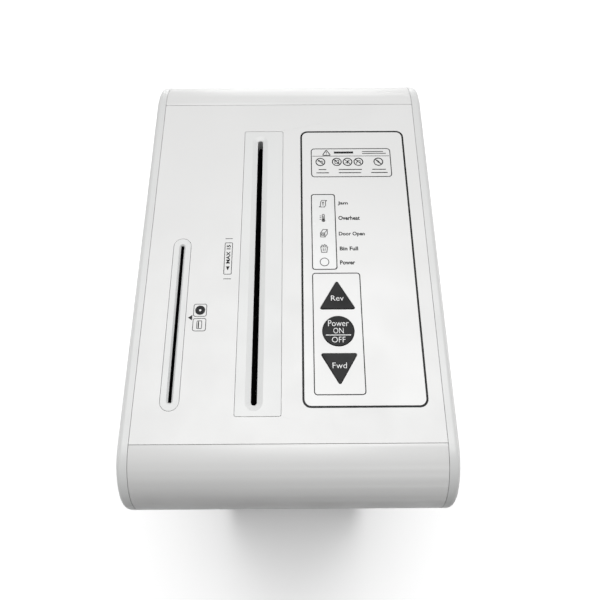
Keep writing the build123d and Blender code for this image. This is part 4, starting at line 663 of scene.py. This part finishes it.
def turned_bar(ends, centre, radius):
    """An axle along X: circles of one radius from end to end, drawn in to a chamfer at both."""
    along = np.array([ends[0], ends[0], ends[0] + 0.6, ends[1] - 0.6, ends[1], ends[1]])
    share = np.array([0.02, 0.85, 1.0, 1.0, 0.85, 0.02]) * radius
    angle = np.linspace(0, 2 * math.pi, 24, endpoint=False)
    x = np.broadcast_to(along[:, None], (len(along), len(angle)))
    y = centre[1] + share[:, None] * np.cos(angle)
    z = centre[2] + share[:, None] * np.sin(angle)
    faces = grid_faces(len(along), len(angle), False, True)[:, ::-1].tolist()
    last = (len(along) - 1) * len(angle)
    faces.append(list(range(len(angle))))
    faces.append(list(range(last, last + len(angle)))[::-1])
    return np.stack([x, y, z], 2).reshape(-1, 3), faces


for corner in ("front_left", "front_right", "rear_left", "rear_right"):
    low, high = millimetres(f"castor_wheels_{corner}")
    radius = (high[2] - low[2]) / 2
    middle = (low + high) / 2
    pair = [
        castor_wheel((low[0] + wheel_width / 2, middle[1], middle[2]), wheel_width, radius, -1),
        castor_wheel((high[0] - wheel_width / 2, middle[1], middle[2]), wheel_width, radius, 1),
    ]
    axle = turned_bar((low[0] + axle_inset, high[0] - axle_inset), middle, axle_radius)
    treads = build(f"wheels_{corner}_tread", pair + [axle], finishes["wheel_rubber"],
                   f"wheels_{corner}", True)
    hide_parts(f"castor_wheels_{corner}")


# ---- room, light and camera ----------------------------------------------------------------------
def studio_floor():
    """A pale sheet under the machine: its height is zero near it and lifts very slowly far away."""
    side = np.linspace(-4.0, 4.0, 33)
    x, y = np.meshgrid(side, side, indexing="ij")
    z = 0.01 * np.maximum(np.hypot(x, y) - 2.0, 0.0) ** 2
    points = np.stack([x, y, z], 2).reshape(-1, 3)
    mesh = bpy.data.meshes.new("studio_floor")
    mesh.from_pydata(points.tolist(), [], grid_faces(len(side), len(side)).tolist())
    mesh.polygons.foreach_set("use_smooth", [True] * len(mesh.polygons))
    finish = Finish("pale floor", (0.95, 0.95, 0.95), 0.8)
    finish.tint(finish.noise(3.0, 3.0), (0.935, 0.935, 0.935))
    finish.shader.inputs["Emission Color"].default_value = (1.0, 1.0, 1.0, 1.0)
    finish.shader.inputs["Emission Strength"].default_value = 0.18
    finish.bump(finish.noise(500.0, 2.0), 0.05 * MM, 0.2)
    mesh.materials.append(finish.material)
    floor = bpy.data.objects.new("studio_floor", mesh)
    bpy.context.scene.collection.objects.link(floor)
    floor.visible_diffuse = False      # its bounce would light the underside of the nose


def soft_light(name, place, aim, size, watts):
    """A rectangular softbox at a place, turned to its aim, that itself isn't seen."""
    lamp = bpy.data.lights.new(name, "AREA")
    lamp.shape = "RECTANGLE"
    lamp.size, lamp.size_y = size
    lamp.energy = watts
    holder = bpy.data.objects.new(name, lamp)
    holder.location = place
    holder.rotation_euler = (Vector(aim) - Vector(place)).to_track_quat("-Z", "Y").to_euler()
    holder.visible_camera = False
    bpy.context.scene.collection.objects.link(holder)


def studio_air(glow, backdrop):
    """Even light from all round: a faint glow on the object, and a pale backdrop for the eye."""
    world = bpy.data.worlds.new("studio air")
    world.use_nodes = True
    tree = world.node_tree
    rays = tree.nodes.new("ShaderNodeLightPath")
    level = tree.nodes.new("ShaderNodeMapRange")
    level.inputs["To Min"].default_value = glow
    level.inputs["To Max"].default_value = backdrop
    tree.links.new(rays.outputs["Is Camera Ray"], level.inputs["Value"])
    background = tree.nodes["Background"]
    background.inputs["Color"].default_value = (1.0, 1.0, 1.0, 1.0)
    tree.links.new(level.outputs["Result"], background.inputs["Strength"])
    bpy.context.scene.world = world


studio_floor()
studio_air(0.09, 0.85)
soft_light("overhead softbox", (0.1, 1.6, 9.0), (0.0, 0.0, 0.4), (7.0, 6.0), 850.0)
soft_light("left softbox", (-2.3, 0.4, 0.15), (0.0, 0.0, 0.25), (1.6, 1.2), 15.0)
soft_light("right softbox", (2.3, 0.4, 0.15), (0.0, 0.0, 0.25), (1.6, 1.2), 18.0)
soft_light("rear softbox", (0.0, 2.5, 0.3), (0.0, 0.0, 0.3), (1.6, 1.2), 16.0)
soft_light("front softbox", (0.0, -2.5, 0.1), (0.0, 0.0, 0.25), (1.6, 1.2), 4.0)
bpy.context.scene.view_settings.view_transform = "Standard"

camera_data = bpy.data.cameras.new("camera")
camera_data.sensor_width = 36.0
camera_data.lens = 33.6
camera = bpy.data.objects.new("camera", camera_data)
camera_height = 0.3901      # above the deck
camera.location = (0.0076, deck_y * MM - 0.2077, deck_z + camera_height)
camera.rotation_euler = Euler((math.radians(90.0 - 66.87), 0.0, math.radians(-0.363)))
bpy.context.scene.collection.objects.link(camera)
bpy.context.scene.camera = camera
